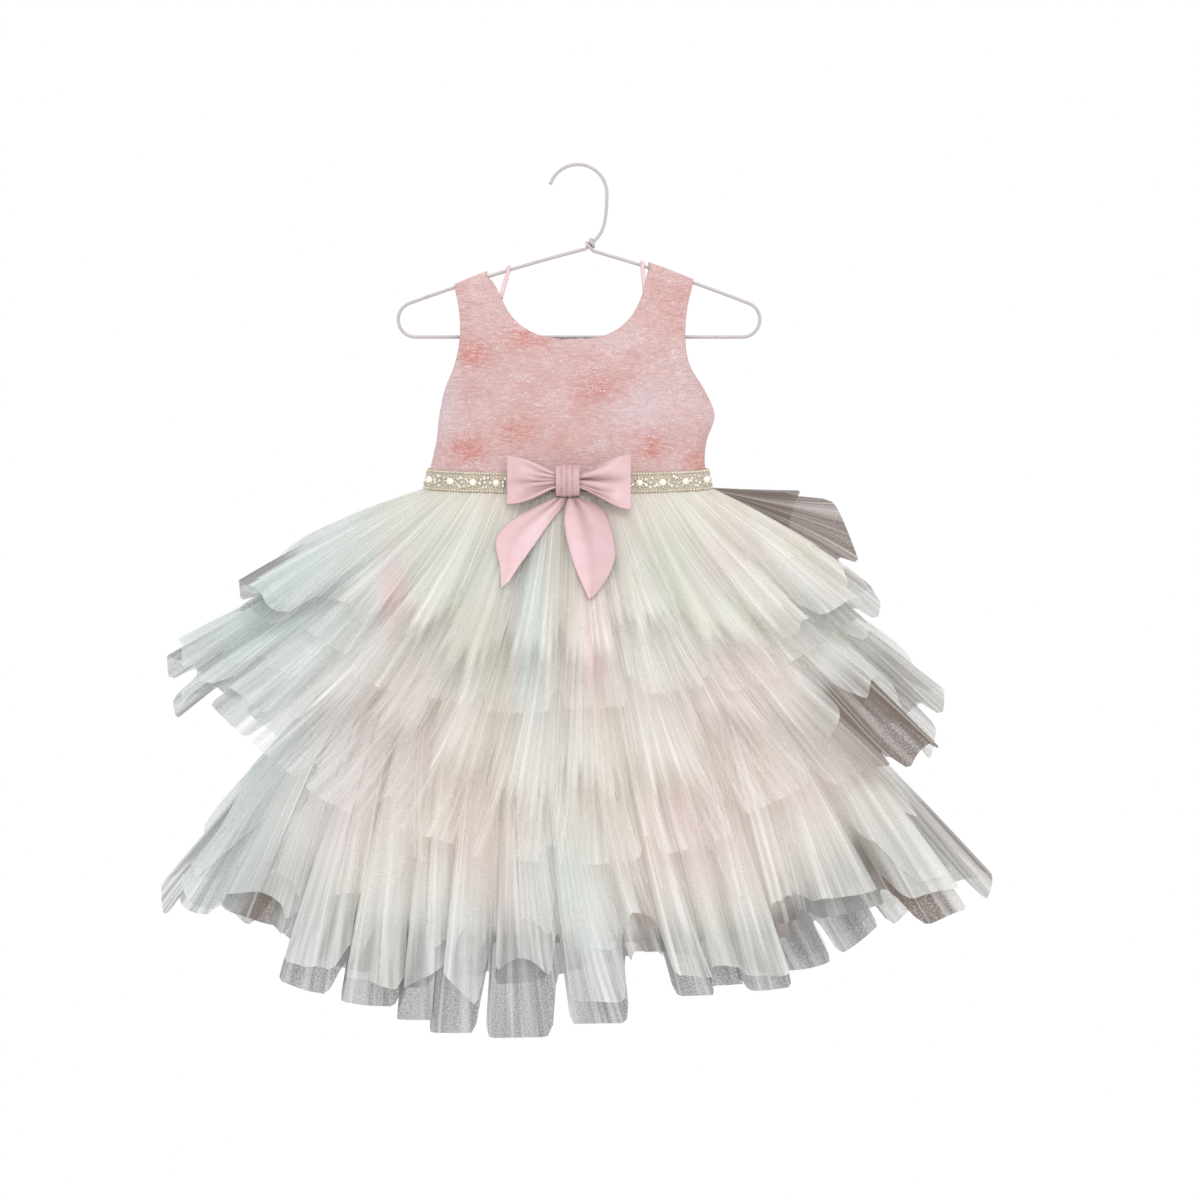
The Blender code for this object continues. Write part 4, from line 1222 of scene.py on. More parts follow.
@dataclass
class TulleTier:
    """One tier: a front and a back panel, each of a fine net with painted grey and taupe shade in places, an
    ivory veil and a ragged overlay.

    roll is how far the crests' sides roll over the troughs, in crests, gathers and waves are the heights of
    the fine gathers near the seam and of the slow waves lower down, and step_turn is the share of a ragged
    step that its corner takes. The veil ends at least least_gap above the net. The overlay ends higher by a
    share of the panel's length, overlay_short, which strays by overlay_uneven.
    """

    form: TierForm
    finishes: dict[Hem, Material]
    ends: Ends
    per_flute: int = 18
    rows: int = 48
    roll: float = 0.135
    gathers: float = 0.0006
    waves: float = 0.0022
    step_turn: float = 0.22
    least_gap: float = 0.006
    overlay_short: float = 0.20
    overlay_uneven: float = 0.16

    def shortfall(self, layer: Layer, strands: Strands, angle: Array, slant: Array, salt: float) -> Array:
        """How much shorter than the form's hem a layer ends in each column, in metres.

        The net only hangs longer, where a bare place says so. The ivory ends in ragged steps, smaller at the
        sides, one for each crest and one for each half crest, and higher up in the bare places. The overlay
        ends higher still, by steps of its own.

        Args:
            layer: The layer.
            strands: The panel's columns.
            angle: Their angles at the hem.
            slant: The panel's length in each of them.
            salt: Makes the panel's unevenness its own.

        Returns:
            One length for each column.
        """
        if layer.hem is Hem.NET:
            return -np.sum([place.long * place.at(angle) for place in self.ends.bare], axis=0)
        crests, halves, own = (
            uneven_steps(strands.place * count + shift, self.step_turn, salt + 2 + shift)
            for count, shift in ((1.0, 0.5), (2.0, 0.0), (2.0, 0.35)))
        ragged = self.ends.ragged * (1 - 0.7 * side_share(angle))
        short = self.least_gap + ragged * np.maximum(1 + 0.7 * crests + 0.5 * halves, 0)
        short = short + self.ends.most("short", angle)
        if layer.hem is Hem.VEIL:
            return short
        return short + slant * (self.overlay_short + self.overlay_uneven * own)

    def looks(self, layer: Layer, points: Array, angle: Array, t: Array, down: Array,
              salt: float) -> dict[str, Array]:
        """The tint and the share of threads of a layer at each point.

        The net is cream and thin under the ivory, and turns to a painted grey shade towards the sides and
        lowest down, and to a painted taupe shade in the bare places that say so and on a stiff flap. The
        ivory layers thin out over the last quarter of their way down, less at the sides.

        Args:
            layer: The layer.
            points: Its points.
            angle: Their angles.
            t: Their shares of the way down the tier's profile.
            down: Their shares of the way down the layer.
            salt: Makes the panel's unevenness its own.

        Returns:
            The values for the finish.
        """
        side = side_share(angle)
        tint = tulle_tint(points, salt + 0.2)
        if layer.hem is not Hem.NET:
            lost = eased((down - 0.74) / 0.26) * (1 - self.ends.fade) * (1 - 0.75 * side)
            return {"tint": tint, "weight": 1 - lost}
        # Painted shade: the net's grey and taupe stand for the shadow and the darker things seen through the
        # sheer net, which is pale itself.
        grey = np.maximum(side * eased((t - 0.45) / 0.4), eased((t - self.ends.low) / 0.08))
        taupe = self.ends.most("taupe", angle) * eased((t - 0.7) / 0.15)
        flap = sum((lift.at(angle) for lift in self.form.lifts if lift.share > STIFF), 0 * angle)
        taupe = np.clip(np.maximum(1.5 * taupe, 3.0 * flap), 0, 1)
        tint = blend(tint, np.array(GREY_SHADE), (0.9 - 0.25 * side[..., None]) * grey[..., None])
        tint = blend(tint, np.array(TAUPE_SHADE), taupe[..., None])
        return {"tint": tint, "weight": blend(blend(0.3, 0.94 - 0.22 * side, grey), 1.1, taupe)}

    def panel(self, facing: int, layer: Layer) -> Grid:
        """One layer of one panel, in rows from its seam to its hem.

        The columns are even at the seam and at their own spread at the hem. A column's share of the way round
        is moved by a sine of its place in the flute, more towards the hem, so that crests grow wide and roll
        over the troughs. Each point then stands out along the form's normal by its crest, with fine gathers
        near the seam and slow waves lower down. The ivory layers don't follow a stiff flap, and the net lies
        less far in at the sides.

        Args:
            facing: FRONT or BACK.
            layer: The layer.

        Returns:
            Its surface, with its cut's sizes and the values for its finish.
        """
        form, salt = self.form, self.form.salt_on(facing)
        kept = tuple(lift for lift in form.lifts if lift.share < STIFF or layer.hem is Hem.NET)
        shape = replace(form, lifts=kept)
        strands = form.strands(facing, self.per_flute)
        count = form.flutes // 2
        angle = shape.angles(facing, strands.spread)
        slant = np.linalg.norm(shape.hem(angle) - moved_out(angle, form.attach, 0.0), axis=-1)
        longest = strands.longest - self.shortfall(layer, strands, angle, slant, salt) / slant
        down = evenly(self.rows)[:, None]
        t = down * longest[None]
        rolled = np.sin(2 * np.pi * strands.place) * self.roll / count
        share = blend(strands.place / count, strands.spread, down) + rolled[None] * np.clip(t, 0, 1)**1.5
        angle = shape.angles(facing, share)
        deep = form.depth * strands.deep * np.maximum(t, 0.0)**form.gather
        aside = 1 - 0.6 * side_share(angle) if layer.hem is Hem.NET else 1.0
        stand = deep * (layer.follow * strands.crest + layer.out * aside) + layer.base
        fine = uneven_field(strands.place * 6.0, t * 2.2, salt + 0.3)
        gathers = fine * self.gathers * (1 - 0.8 * np.clip(t, 0, 1))
        waves = uneven_field(strands.place * 2.1, t * 2.6, salt + 0.7 + layer.out) * self.waves * t
        inside = np.clip(np.sin(np.pi * strands.place / count), 0, 1)
        stand = stand + (gathers + waves) * inside**0.2
        points = shape.surface(angle, t) + shape.normal(angle, t) * stand[..., None]
        points[:, (0, -1), 1] = facing * SEAM / 2
        width = lengths_along(shape.hem(shape.angles(facing, strands.spread)))
        cut = np.stack(np.broadcast_arrays(width[None], t * slant[None]), axis=-1)
        return Grid(points, flip=True, cut=cut, values=self.looks(layer, points, angle, t, down, salt))

    def build(self) -> None:
        for facing, side in ((FRONT, "front"), (BACK, "back")):
            node = f"{self.form.name}_{side}"
            for layer in LAYERS:
                grid = self.panel(facing, layer)
                piece = Mesh(f"{node}_{layer.hem.value}").add(grid).build()
                nodes = (node,) if layer.hem is Hem.VEIL else ()
                dress(piece, self.finishes[layer.hem], "tulle", *nodes)
                declare(grid.points, Held.GATHERED)


TIER_FORMS = (
    TierForm(
        "tier_1", attach=0.0088, flutes=22, depth=0.0085, tab=0.0120,
        left=0.2780, right=0.2460, left_drop=0.0800, right_drop=0.0990,
        front=0.1120, front_drop=0.1780, back=0.0960, back_drop=0.1720,
        side_bend=-0.05, end_bend=0.09, narrow=2.6, sudden=1.0, salt=0.0,
        lifts=(HemLift(30.0, 14.0, 0.95), HemLift(191.0, 5.5, -0.20), HemLift(348.0, 5.5, -0.13))),
    TierForm(
        "tier_2", attach=0.0400, flutes=26, depth=0.0085, tab=0.0130,
        left=0.3370, right=0.2940, left_drop=0.1430, right_drop=0.1660,
        front=0.1340, front_drop=0.3040, back=0.1080, back_drop=0.2940,
        side_bend=-0.02, end_bend=0.13, narrow=2.2, sudden=1.0, salt=10.0,
        lifts=(HemLift(193.0, 6.5, -0.27), HemLift(347.0, 6.5, -0.30))),
    TierForm(
        "tier_3", attach=0.1100, flutes=30, depth=0.0100, tab=0.0220,
        left=0.3390, right=0.3340, left_drop=0.3240, right_drop=0.3180,
        front=0.1520, front_drop=0.4450, back=0.1220, back_drop=0.4170,
        side_bend=-0.01, end_bend=0.10, narrow=7.0, sudden=4.5, salt=20.0,
        lifts=(HemLift(78.0, 14.0, 0.06), HemLift(190.0, 8.0, -0.08), HemLift(348.0, 7.0, -0.06)),
        tabs=((-0.2940, -0.6520, -0.6220), (-0.2470, -0.6300, -0.6280), (-0.2050, -0.6840, -0.6600),
              (-0.1490, -0.6970, -0.6780), (-0.1220, -0.7085, -0.7045), (-0.0830, -0.7180, -0.6690),
              (-0.0130, -0.7215, -0.6700), (0.0500, -0.7100, -0.6575), (0.0830, -0.6560, -0.6530),
              (0.1215, -0.6890, -0.6770), (0.1450, -0.6810, -0.6760), (0.1900, -0.6850, -0.6560),
              (0.2150, -0.6330, -0.6200), (0.2705, -0.6240, -0.6060), (0.2985, -0.6290, -0.6040),
              (0.3340, -0.6220, -0.6220))),
)
TIER_ENDS = {
    "tier_1": Ends(low=1.2, ragged=0.024, fade=0.1, bare=(
        Bare(181.0, 8.0, 0.060, 0.4), Bare(30.0, 14.0, 0.0, 1.0, -0.026), Bare(357.0, 5.0, 0.030))),
    "tier_2": Ends(low=1.2, ragged=0.028, fade=0.0, bare=(
        Bare(182.0, 5.0, 0.012, 0.2), Bare(327.0, 5.0, 0.050, 1.0, 0.030),
        Bare(336.0, 5.0, 0.036, 1.0, 0.018), Bare(356.0, 7.0, 0.060, 0.3, 0.006))),
    "tier_3": Ends(low=0.70, ragged=0.005, fade=0.65, bare=(
        Bare(182.0, 8.0, 0.110), Bare(217.0, 2.5, 0.014, 0.8), Bare(228.0, 5.0, 0.008),
        Bare(238.0, 4.0, 0.008), Bare(250.0, 4.0, 0.050), Bare(262.0, 5.0, 0.060),
        Bare(281.0, 3.0, 0.020, 0.8), Bare(308.0, 3.0, 0.006, 0.8), Bare(327.0, 4.0, 0.016, 1.0),
        Bare(358.0, 14.0, 0.170, 0.45))),
}


# ---- the underskirt ----
@dataclass
class Underskirt:
    """The plain lined skirt that the tiers are sewn to, with soft folds that hang inwards."""

    finish: Material
    columns: int = 240
    rows: int = 40
    fold: float = 0.0022

    def build(self) -> None:
        """Builds the skirt: rings of waist_point at even drops, less a cloud's share of the fold's depth."""
        drop = evenly(self.rows, SEAM, SKIRT_DROP)[:, None]
        turn = evenly(self.columns)[None, :]
        fold = uneven_field(np.minimum(turn, 1 - turn) * 44, drop * 4, 3.3) - 1
        points = moved_out(2 * np.pi * turn, drop, self.fold * fold * drop / SKIRT_DROP)
        points[:, -1] = points[:, 0]
        piece = Mesh("underskirt_cloth").add(Grid(points, flip=True)).build()
        thicken(piece)
        dress(piece, self.finish, "underskirt_lining", "underskirt")
        declare(points, Held.HUNG)


# ---- the bodice ----
# The brocade's coral flowers, and the places where it turns lilac.
BLOOMS = (
    Spot(-0.089, -0.159, 0.016, 0.014, 1.0),
    Spot(-0.046, -0.144, 0.020, 0.011, 0.8),
    Spot(0.018, -0.188, 0.022, 0.014, 0.8),
    Spot(-0.052, -0.226, 0.020, 0.014, 0.8),
    Spot(0.062, -0.238, 0.013, 0.012, 1.0),
    Spot(-0.095, -0.240, 0.018, 0.013, 1.0),
    Spot(0.100, -0.252, 0.012, 0.012, 1.0),
    Spot(0.080, -0.120, 0.016, 0.020, 0.5),
)
LILACS = (
    Spot(0.054, -0.206, 0.028, 0.022, 1.0),
    Spot(-0.112, -0.200, 0.014, 0.050, 1.0),
    Spot(0.030, -0.150, 0.030, 0.010, 0.5),
    Spot(-0.020, -0.255, 0.040, 0.010, 0.4),
    Spot(0.095, -0.185, 0.020, 0.030, 0.5),
)


def spots(points: Array, table: Sequence[Spot]) -> Array:
    """How strongly each point lies in the table's spots: the greatest of their bell curves."""
    return np.max([spot.at(points) for spot in table], axis=0)


@dataclass(frozen=True)
class NeckSide:
    """One side of the neckline: its column of LEVELS, its half width and its flare at the shoulder."""

    side: int
    column: Column
    half: float
    flare: float


NECK_SIDES = (NeckSide(LEFT, Column.LEFT, 0.0640, 0.0097), NeckSide(RIGHT, Column.RIGHT, 0.0605, 0.0030))


@dataclass
class Bodice:
    """A front panel, and two back panels that meet at the middle of the back."""

    finish: Material
    hanger: Hanger
    squareness: float = 0.75
    flare_onset: float = 6.0
    slope_onset: float = 3.0
    strap_lift: float = 0.0020
    columns: int = 44
    body_rows: int = 44
    strap_rows: int = 30
    shoulder_rows: int = 8
    relief: float = 0.0005
    creases: float = 0.0010

    def columns_at(self, inner: Array, outer: Array, level: Array) -> Array:
        """x of each column from the inner to the outer edge, closer together where the panel turns away.

        The columns are at even angles of the half ellipse that the panel is in plan.

        Args:
            inner: x of the inner edge in each row.
            outer: x of the outer edge.
            level: The height that the ellipse is read at.

        Returns:
            x in rows and columns.
        """
        middle = centre_x(level)
        span = half_width(level, outer - middle)
        low, high = (np.arcsin(np.minimum((edge - middle) / span, 1))[:, None] for edge in (inner, outer))
        across = evenly(self.columns)[None, :]
        return middle[:, None] + span[:, None] * np.sin(blend(low, high, across))

    def half(self, neck: NeckSide, facing: int, neck_z: float, middle: float | None) -> Array:
        """Half a panel's outer face, in rows from the waist to the shoulder seam, inner edge first.

        Body rows are level up to the neck's lowest point. Strap rows follow an angle round the neckline's
        curve, a widened quarter ellipse that flares at the shoulder. Shoulder rows go over the wire.

        Args:
            neck: The side and its neckline.
            facing: FRONT or BACK.
            neck_z: The neck's lowest height.
            middle: x of the inner edge up to there, or None for the panels' middle.

        Returns:
            The points in rows and columns.
        """
        across = evenly(self.columns)[None, :]
        z = evenly(self.body_rows, WAIST_Z, neck_z)
        inner = centre_x(z) if middle is None else np.full_like(z, middle)
        x = self.columns_at(inner, level_value(z, neck.column), z)
        body = body_point(x, z[:, None], z[:, None], facing)

        top_inner = centre_x(neck_z) + neck.side * (neck.half + neck.flare)
        top_outer = float(level_value(TOP_Z, neck.column))
        turn = evenly(self.strap_rows, 0.0, np.pi / 2)[1:]
        share = 1 - np.cos(turn)
        opening = neck.half * np.sin(turn)**self.squareness + neck.flare * share**self.flare_onset
        level = blend(neck_z, TOP_Z, share)
        x = self.columns_at(centre_x(neck_z) + neck.side * opening, level_value(level, neck.column), level)
        share = share[:, None]
        rise = blend(self.hanger.arm_z(top_inner) - neck_z, self.hanger.arm_z(top_outer) - neck_z, across)
        along_arm = neck_z + share * (self.hanger.arm_z(x) - neck_z)
        height = blend(neck_z + share * rise, along_arm, share**self.slope_onset)
        strap = body_point(x, height, level[:, None], facing)

        turn = np.radians(evenly(self.shoulder_rows, 0.0, 88.0))[1:, None]
        x = self.columns_at(np.array([top_inner]), np.array([top_outer]), np.array([TOP_Z]))
        radius, lift = WIRE / 2 + SEAM + CLOTH, self.strap_lift * (1 - across)
        y = radius * np.cos(turn) + 0 * x
        y[-1] = SEAM / 2
        over = stack(x + 0 * turn, facing * y, self.hanger.arm_z(x) + (radius + lift) * np.sin(turn))
        return self.embossed(np.concatenate([body, strap, over]), facing)

    def embossed(self, points: Array, facing: int) -> Array:
        """Raises soft swirls and small creases in the face, less towards every edge.

        Args:
            points: A face in rows from the waist up, inner edge first.
            facing: FRONT or BACK.

        Returns:
            The raised points.
        """
        x, z = points[..., 0], points[..., 2]
        swirl = uneven_field(x * 130, z * 150, 4.4) + 0.6 * uneven_field(x * 60, z * 60, 5.5)
        crease = uneven_field(x * 30 + z * 14, z * 26, 6.6)
        rows, columns = np.linspace(0, 1, points.shape[0])[:, None], np.linspace(0, 1, points.shape[1])
        fade = eased(rows * 12) * eased((0.9 - rows) * 12) * eased((1 - columns) * 10)
        points = points.copy()
        points[..., 1] += facing * fade * (self.relief * swirl + self.creases * crease)
        return points

    def build(self) -> None:
        halves = [self.half(neck, FRONT, FRONT_NECK_Z, None) for neck in NECK_SIDES]
        seam = (halves[0][:self.body_rows + 1, 0] + halves[1][:self.body_rows + 1, 0]) / 2
        for points in halves:
            points[:self.body_rows + 1, 0] = seam
        self.panel("bodice_panel_front", "bodice_front", halves, FRONT)
        for neck, word in zip(NECK_SIDES, ("left", "right")):
            points = self.half(neck, BACK, BACK_NECK_Z, CENTRE_LOW + neck.side * SEAM / 2)
            self.panel(f"bodice_panel_back_{word}", f"bodice_back_{word}", [points], BACK)

    def panel(self, name: str, node: str, halves: list[Array], facing: int) -> None:
        """Makes one panel from its halves, which are welded where they meet.

        Args:
            name: The piece's name.
            node: The node that it replaces.
            halves: Each half's points.
            facing: FRONT or BACK.
        """
        made = Mesh(name)
        for points in halves:
            outwards = (points[1, 1, 0] > points[1, 0, 0]) == (facing < 0)
            made.add(Grid(points, flip=not outwards,
                          values={"bloom": spots(points, BLOOMS), "lilac": spots(points, LILACS)}))
        piece = made.build()
        thicken(piece)
        dress(piece, self.finish, "bodice_brocade", node)
        declare(np.stack(halves), Held.HUNG)


# ---- the hanger ----
@dataclass
class Hanger:
    """One coated wire bent to a hook, two arms and a bar, whose end is wound on the shank."""

    finish: Material
    neck: tuple[float, float] = (0.0055, -0.0700)
    hook_radius: float = 0.0245
    hook_x: float = -0.0010
    tip_angle: float = 162.0
    shank_drop: float = 0.0340
    shank_run: float = 0.0120
    shank_rise: float = 0.0110
    end_x: float = 0.1380
    end_radius: float = 0.0148
    end_turn: float = 73.0
    bar_z: float = -0.1445
    arm_bow: float = 0.0020
    coil_start: float = 0.0032
    coil_turns: float = 1.5
    coil_run: float = 0.0070
    coil_forward: float = 0.0016
    coil_pitch: float = 0.0042
    sides: int = 14

    def arm_end(self) -> tuple[float, float]:
        """Where an arm meets its round end: the distance from the middle and the height."""
        turn, radius = math.radians(self.end_turn), self.end_radius
        return self.end_x + radius * math.cos(turn), self.bar_z + radius * (1 + math.sin(turn))

    def arm_z(self, x: Values) -> Array:
        """Height of the arm's middle at x: a straight slope, bowed up by a parabola."""
        tangent_x, tangent_z = self.arm_end()
        neck_x, neck_z = self.neck
        x = np.asarray(x, float)
        reach = np.where(x < neck_x, tangent_x + neck_x, tangent_x - neck_x)
        share = np.minimum(np.abs(x - neck_x) / reach, 1.0)
        return blend(neck_z, tangent_z, share) + self.arm_bow * 4 * share * (1 - share)

    def arc(self, x: float, z: float, radius: float, first: float, last: float, steps: int) -> Array:
        """Points of an arc in the hanger's plane, from one angle to another, in degrees from +X."""
        turn = np.radians(evenly(steps, first, last))
        return stack(x + radius * np.cos(turn), 0.0, z + radius * np.sin(turn))

    def route(self) -> Array:
        """The wire's middle from the hook's tip, round the hanger, to its end wound on the shank.

        The hook and the ends are arcs, the shank is a cubic with two handles, the arms are bowed lines and
        the wound end is a helix about the shank.

        Returns:
            The wire's middle, one point a row.
        """
        hook = self.arc(self.hook_x, WIRE / 2 - self.hook_radius, self.hook_radius, self.tip_angle, 0.0, 40)
        neck = np.array([self.neck[0], 0.0, self.neck[1]])
        side = hook[-1]
        low, high = side - [0, 0, self.shank_drop], neck + [self.shank_run, 0.0, self.shank_rise]
        t = evenly(30)[1:, None]
        shank = side * (1 - t)**3 + low * 3 * t * (1 - t)**2 + high * 3 * t * t * (1 - t) + neck * t**3
        tangent_x, _ = self.arm_end()
        left = evenly(24, self.neck[0], -tangent_x)[1:-1]
        right = evenly(24, tangent_x, self.neck[0] + 2 * self.coil_run)[1:]
        ends_z = self.bar_z + self.end_radius
        up = unit(np.array([self.shank_run, 0.0, self.shank_rise]))
        out, behind = np.array([up[2], 0.0, -up[0]]), np.array([0.0, 1.0, 0.0])
        turned = 2 * np.pi * evenly(int(self.coil_turns * 20), 0.0, self.coil_turns)[:, None]
        angle = np.pi / 2 + turned
        coil = (neck + up * (self.coil_start + self.coil_pitch * turned / (2 * np.pi))
                + (out * np.cos(angle) - behind * np.sin(angle)) * (WIRE + SEAM))
        leaving = np.array([[self.neck[0] + self.coil_run, -self.coil_forward,
                             float(self.arm_z(self.neck[0] + self.coil_run))]])
        return np.concatenate([
            hook, shank, stack(left, 0.0, self.arm_z(left)),
            self.arc(-self.end_x, ends_z, self.end_radius, 180.0 - self.end_turn, 270.0, 24),
            self.arc(self.end_x, ends_z, self.end_radius, -90.0, self.end_turn, 24),
            stack(right, 0.0, self.arm_z(right)), leaving, coil])

    def build(self) -> None:
        """Builds the wire as a round tube."""
        piece = Mesh("hanger_coated_wire").add(tube(self.route(), WIRE / 2, self.sides)).build()
        dress(piece, self.finish, "wire_coating", "hanger_wire")


@dataclass
class HangerLoops:
    """The ribbons sewn inside the straps' neck edges, each taken up over an arm of the hanger."""

    finish: Material
    hanger: Hanger
    width: float = 0.0035
    tuck_z: float = -0.1125
    places: tuple[tuple[str, float, float], ...] = (("left", -0.0665, -0.0595), ("right", 0.0562, 0.0535))

    def edge(self, x_low: float, x_top: float) -> Array:
        """One edge: up from inside the strap's front, half round the wire, and down to its back.

        Args:
            x_low: x where it is sewn in.
            x_top: x over the wire.

        Returns:
            The edge's points, one a row.
        """
        radius = WIRE / 2 + SEAM + CLOTH
        t = np.linspace(0.0, 1.0, 14)[:, None]
        rising = []
        for facing in (FRONT, BACK):
            strap = abs(float(body_point(np.array(x_low), self.tuck_z, self.tuck_z, facing)[1]))
            sewn = np.array([x_low, facing * (strap - CLOTH - SEAM), self.tuck_z])
            rising.append(blend(sewn, np.array([x_top, facing * radius, float(self.hanger.arm_z(x_top))]), t))
        turn = evenly(14, 0.0, np.pi)[1:-1]
        top = stack(x_top, -radius * np.cos(turn), float(self.hanger.arm_z(x_top)) + radius * np.sin(turn))
        return np.concatenate([rising[0], top, rising[1][::-1]])

    def build(self) -> None:
        """Builds both loops, five points across."""
        for word, x_low, x_top in self.places:
            offsets = evenly(4, -self.width / 2, self.width / 2)
            points = np.stack([self.edge(x_low + offset, x_top + offset) for offset in offsets], axis=1)
            piece = Mesh(f"hanger_ribbon_{word}").add(Grid(points, flip=True)).build()
            thicken(piece, RIBBON)
            dress(piece, self.finish, "bow_satin", f"hanger_loop_{word}")


# ---- the waist band ----
@dataclass
class WaistBand:
    """The band over the waist seam: its ground, its pearls, the clusters of cut stones between them, and a
    row of seed beads along each edge. The pearls under the bow are left out."""

    ground: Material
    pearl: Material
    stone: Material
    seed: Material
    height: float = 0.0170
    pearl_pitch: float = 0.0199
    pearl_radius: float = 0.0033
    stone_radius: float = 0.0019
    seed_radius: float = 0.0011
    seed_pitch: float = 0.0025
    seed_gap: float = 0.0010
    seed_row: float = 0.0072
    cluster: int = 9
    cluster_reach: float = 0.0043
    cluster_uneven: float = 0.0007
    under_bow: int = 1
    columns: int = 400

    def __post_init__(self) -> None:
        """Measures the ring round the waist, from the middle of the back round the front."""
        self.turn = evenly(self.columns, 0.5 * np.pi, 2.5 * np.pi)
        self.lengths = lengths_along(waist_point(self.turn, 0.0))
        self.half = float(self.lengths[-1]) / 2

    def frames(self, place: Array, drop: Array, out: float) -> tuple[Array, Array]:
        """Places on the band and their axes.

        Args:
            place: Lengths from the middle of the front, to the right.
            drop: Heights below the waist seam.
            out: How far outside the band's face.

        Returns:
            The places, and for each its three axes: along the band, up, and out.
        """
        angle = np.interp(place + self.half, self.lengths, self.turn)
        spot = moved_out(angle, drop, 2 * SEAM + CLOTH + out + 0 * angle)
        along = unit(moved_out(angle + 0.01, drop, 0.0 * angle) - moved_out(angle - 0.01, drop, 0.0 * angle))
        outwards = unit(stack(along[:, 1], -along[:, 0], 0.0))
        return spot, np.stack([along, np.cross(outwards, along), outwards], axis=1)

    def strip(self) -> None:
        """The ground: rings of points at even drops, from one end at the middle of the back to the other."""
        drop = evenly(8, -self.height / 2, self.height / 2 - SEAM)[:, None]
        place = evenly(self.columns, SEAM, 2 * self.half - SEAM)
        angle = np.interp(place, self.lengths, self.turn)
        points = moved_out(angle[None, :], drop, 2 * SEAM + CLOTH + 0 * (angle[None] + drop))
        piece = Mesh("waist_band_ground").add(Grid(points, flip=True)).build()
        thicken(piece)
        dress(piece, self.ground, "pearl_band", "beaded_band")
        declare(points, Held.STRETCHED)

    def many(self, name: str, finish: Material, shape: tuple[Array, Array], place: Array, drop: Array,
             out: float, size: Array, depth: float) -> None:
        """Sews a copy of one small shape at each place on the band, scaled to its size and depth.

        Args:
            name: The piece's name.
            finish: Its material.
            shape: The small shape's points and cells.
            place: Lengths from the middle of the front.
            drop: Heights below the seam.
            out: How far outside the band's face.
            size: The radius of each copy.
            depth: Its depth as a share of that.
        """
        spots_at, axes = self.frames(place, drop, out)
        scale = np.stack([size, size, depth * size], axis=1)[:, :, None]
        piece = Mesh(name).repeat(*shape, spots_at, axes * scale).build(weld=1e-7)
        dress(piece, finish, "pearl_band")

    def stones(self, last: int) -> None:
        """Cut stones in the gaps between pearls, the last of which is number last from the middle.

        One lies in the middle of each gap and the others round it, at uneven angles and distances.

        Args:
            last: The last pearl's number.
        """
        gaps = (np.arange(-last, last) + 0.5) * self.pearl_pitch
        gaps = gaps[np.abs(gaps) > (self.under_bow + 0.3) * self.pearl_pitch]
        number = np.arange(len(gaps) * self.cluster)
        own = number % self.cluster
        lie = 2 * np.pi * own / (self.cluster - 1) + 0.5 * irregular(number, 1.3)
        reach = self.cluster_reach + self.cluster_uneven * irregular(number, 2.3)
        reach = np.where(own == 0, 0.0, reach)
        place = np.repeat(gaps, self.cluster) + 1.05 * reach * np.cos(lie)
        size = self.stone_radius * (0.82 + 0.25 * irregular(number, 3.3))
        self.many("waist_band_stones", self.stone, cut_stone(8), place, reach * np.sin(lie), 0.0003,
                  size, 1.0)

    def seeds(self, pearls: Array) -> None:
        """Seed beads: two at each pitch along both edges, and a ring of eight round each pearl.

        Args:
            pearls: The pearls' lengths from the middle of the front.
        """
        ring = evenly(8, 0.0, 2 * np.pi)[:-1]
        radius = self.pearl_radius + self.seed_gap
        around = (pearls[:, None] + radius * np.cos(ring)).ravel()
        beside = (radius * np.sin(ring) + 0 * pearls[:, None]).ravel()
        edge = np.arange(-self.half + 0.002, self.half - 0.002, self.seed_pitch)
        place = np.concatenate([edge, edge + self.seed_pitch / 2, around])
        drop = np.concatenate([0 * edge - self.seed_row, 0 * edge + self.seed_row, beside])
        keep = np.abs(place) < self.half - 0.001
        size = self.seed_radius * (1 + 0.12 * irregular(np.arange(len(place)), 4.3))
        self.many("waist_band_seed_beads", self.seed, ball(6, 8), place[keep], drop[keep], 0.0004,
                  size[keep], 0.9)

    def build(self) -> None:
        """Builds the ground, the pearls, the stones and the seed beads."""
        self.strip()
        last = int((self.half - 0.007) / self.pearl_pitch)
        number = np.arange(-last, last + 1)
        pearls = number[np.abs(number) > self.under_bow] * self.pearl_pitch
        self.many("waist_band_pearls", self.pearl, ball(14, 18), pearls, 0 * pearls, 0.0009,
                  np.full_like(pearls, self.pearl_radius), 0.85)
        self.stones(last)
        self.seeds(pearls)


def cut_stone(sides: int) -> tuple[Array, Array]:
    """A cut stone of radius 1: a flat top, a slanting crown and a side that narrows behind, all in facets.

    Args:
        sides: How many sides it has.

    Returns:
        Its points and its cells, four corners each. Each facet has its own points, so that it stays flat.
    """
    rings = ((0.0, 0.62), (0.58, 0.62), (1.0, 0.22), (0.9, -0.1))
    turn = 2 * np.pi * np.arange(sides) / sides
    half = np.pi / sides
    points = []
    for (low_r, low_z), (high_r, high_z) in zip(rings, rings[1:]):
        corners = [stack(r * np.cos(turn + side * half), r * np.sin(turn + side * half), z)
                   for r, z, side in ((low_r, low_z, -1), (high_r, high_z, -1), (high_r, high_z, 1),
                                      (low_r, low_z, 1))]
        points.append(np.stack(corners, axis=1).reshape(-1, 3))
    points = np.concatenate(points)
    points += 1e-4 * np.arange(len(points))[:, None] % 3e-3
    return points, np.arange(len(points)).reshape(-1, 4)


# ---- the bow ----
BOW_Z = -0.2672
KNOT_WIDTH, KNOT_DEPTH, KNOT_HEIGHT = 0.0200, 0.0150, 0.0270


def bow_y() -> float:
    """The bow's middle plane, a knot's half depth in front of the band."""
    band = moved_out(np.array([1.5 * np.pi]), 0.0, np.array([3 * SEAM + CLOTH]))
    return float(band[0, 1]) - KNOT_DEPTH / 2


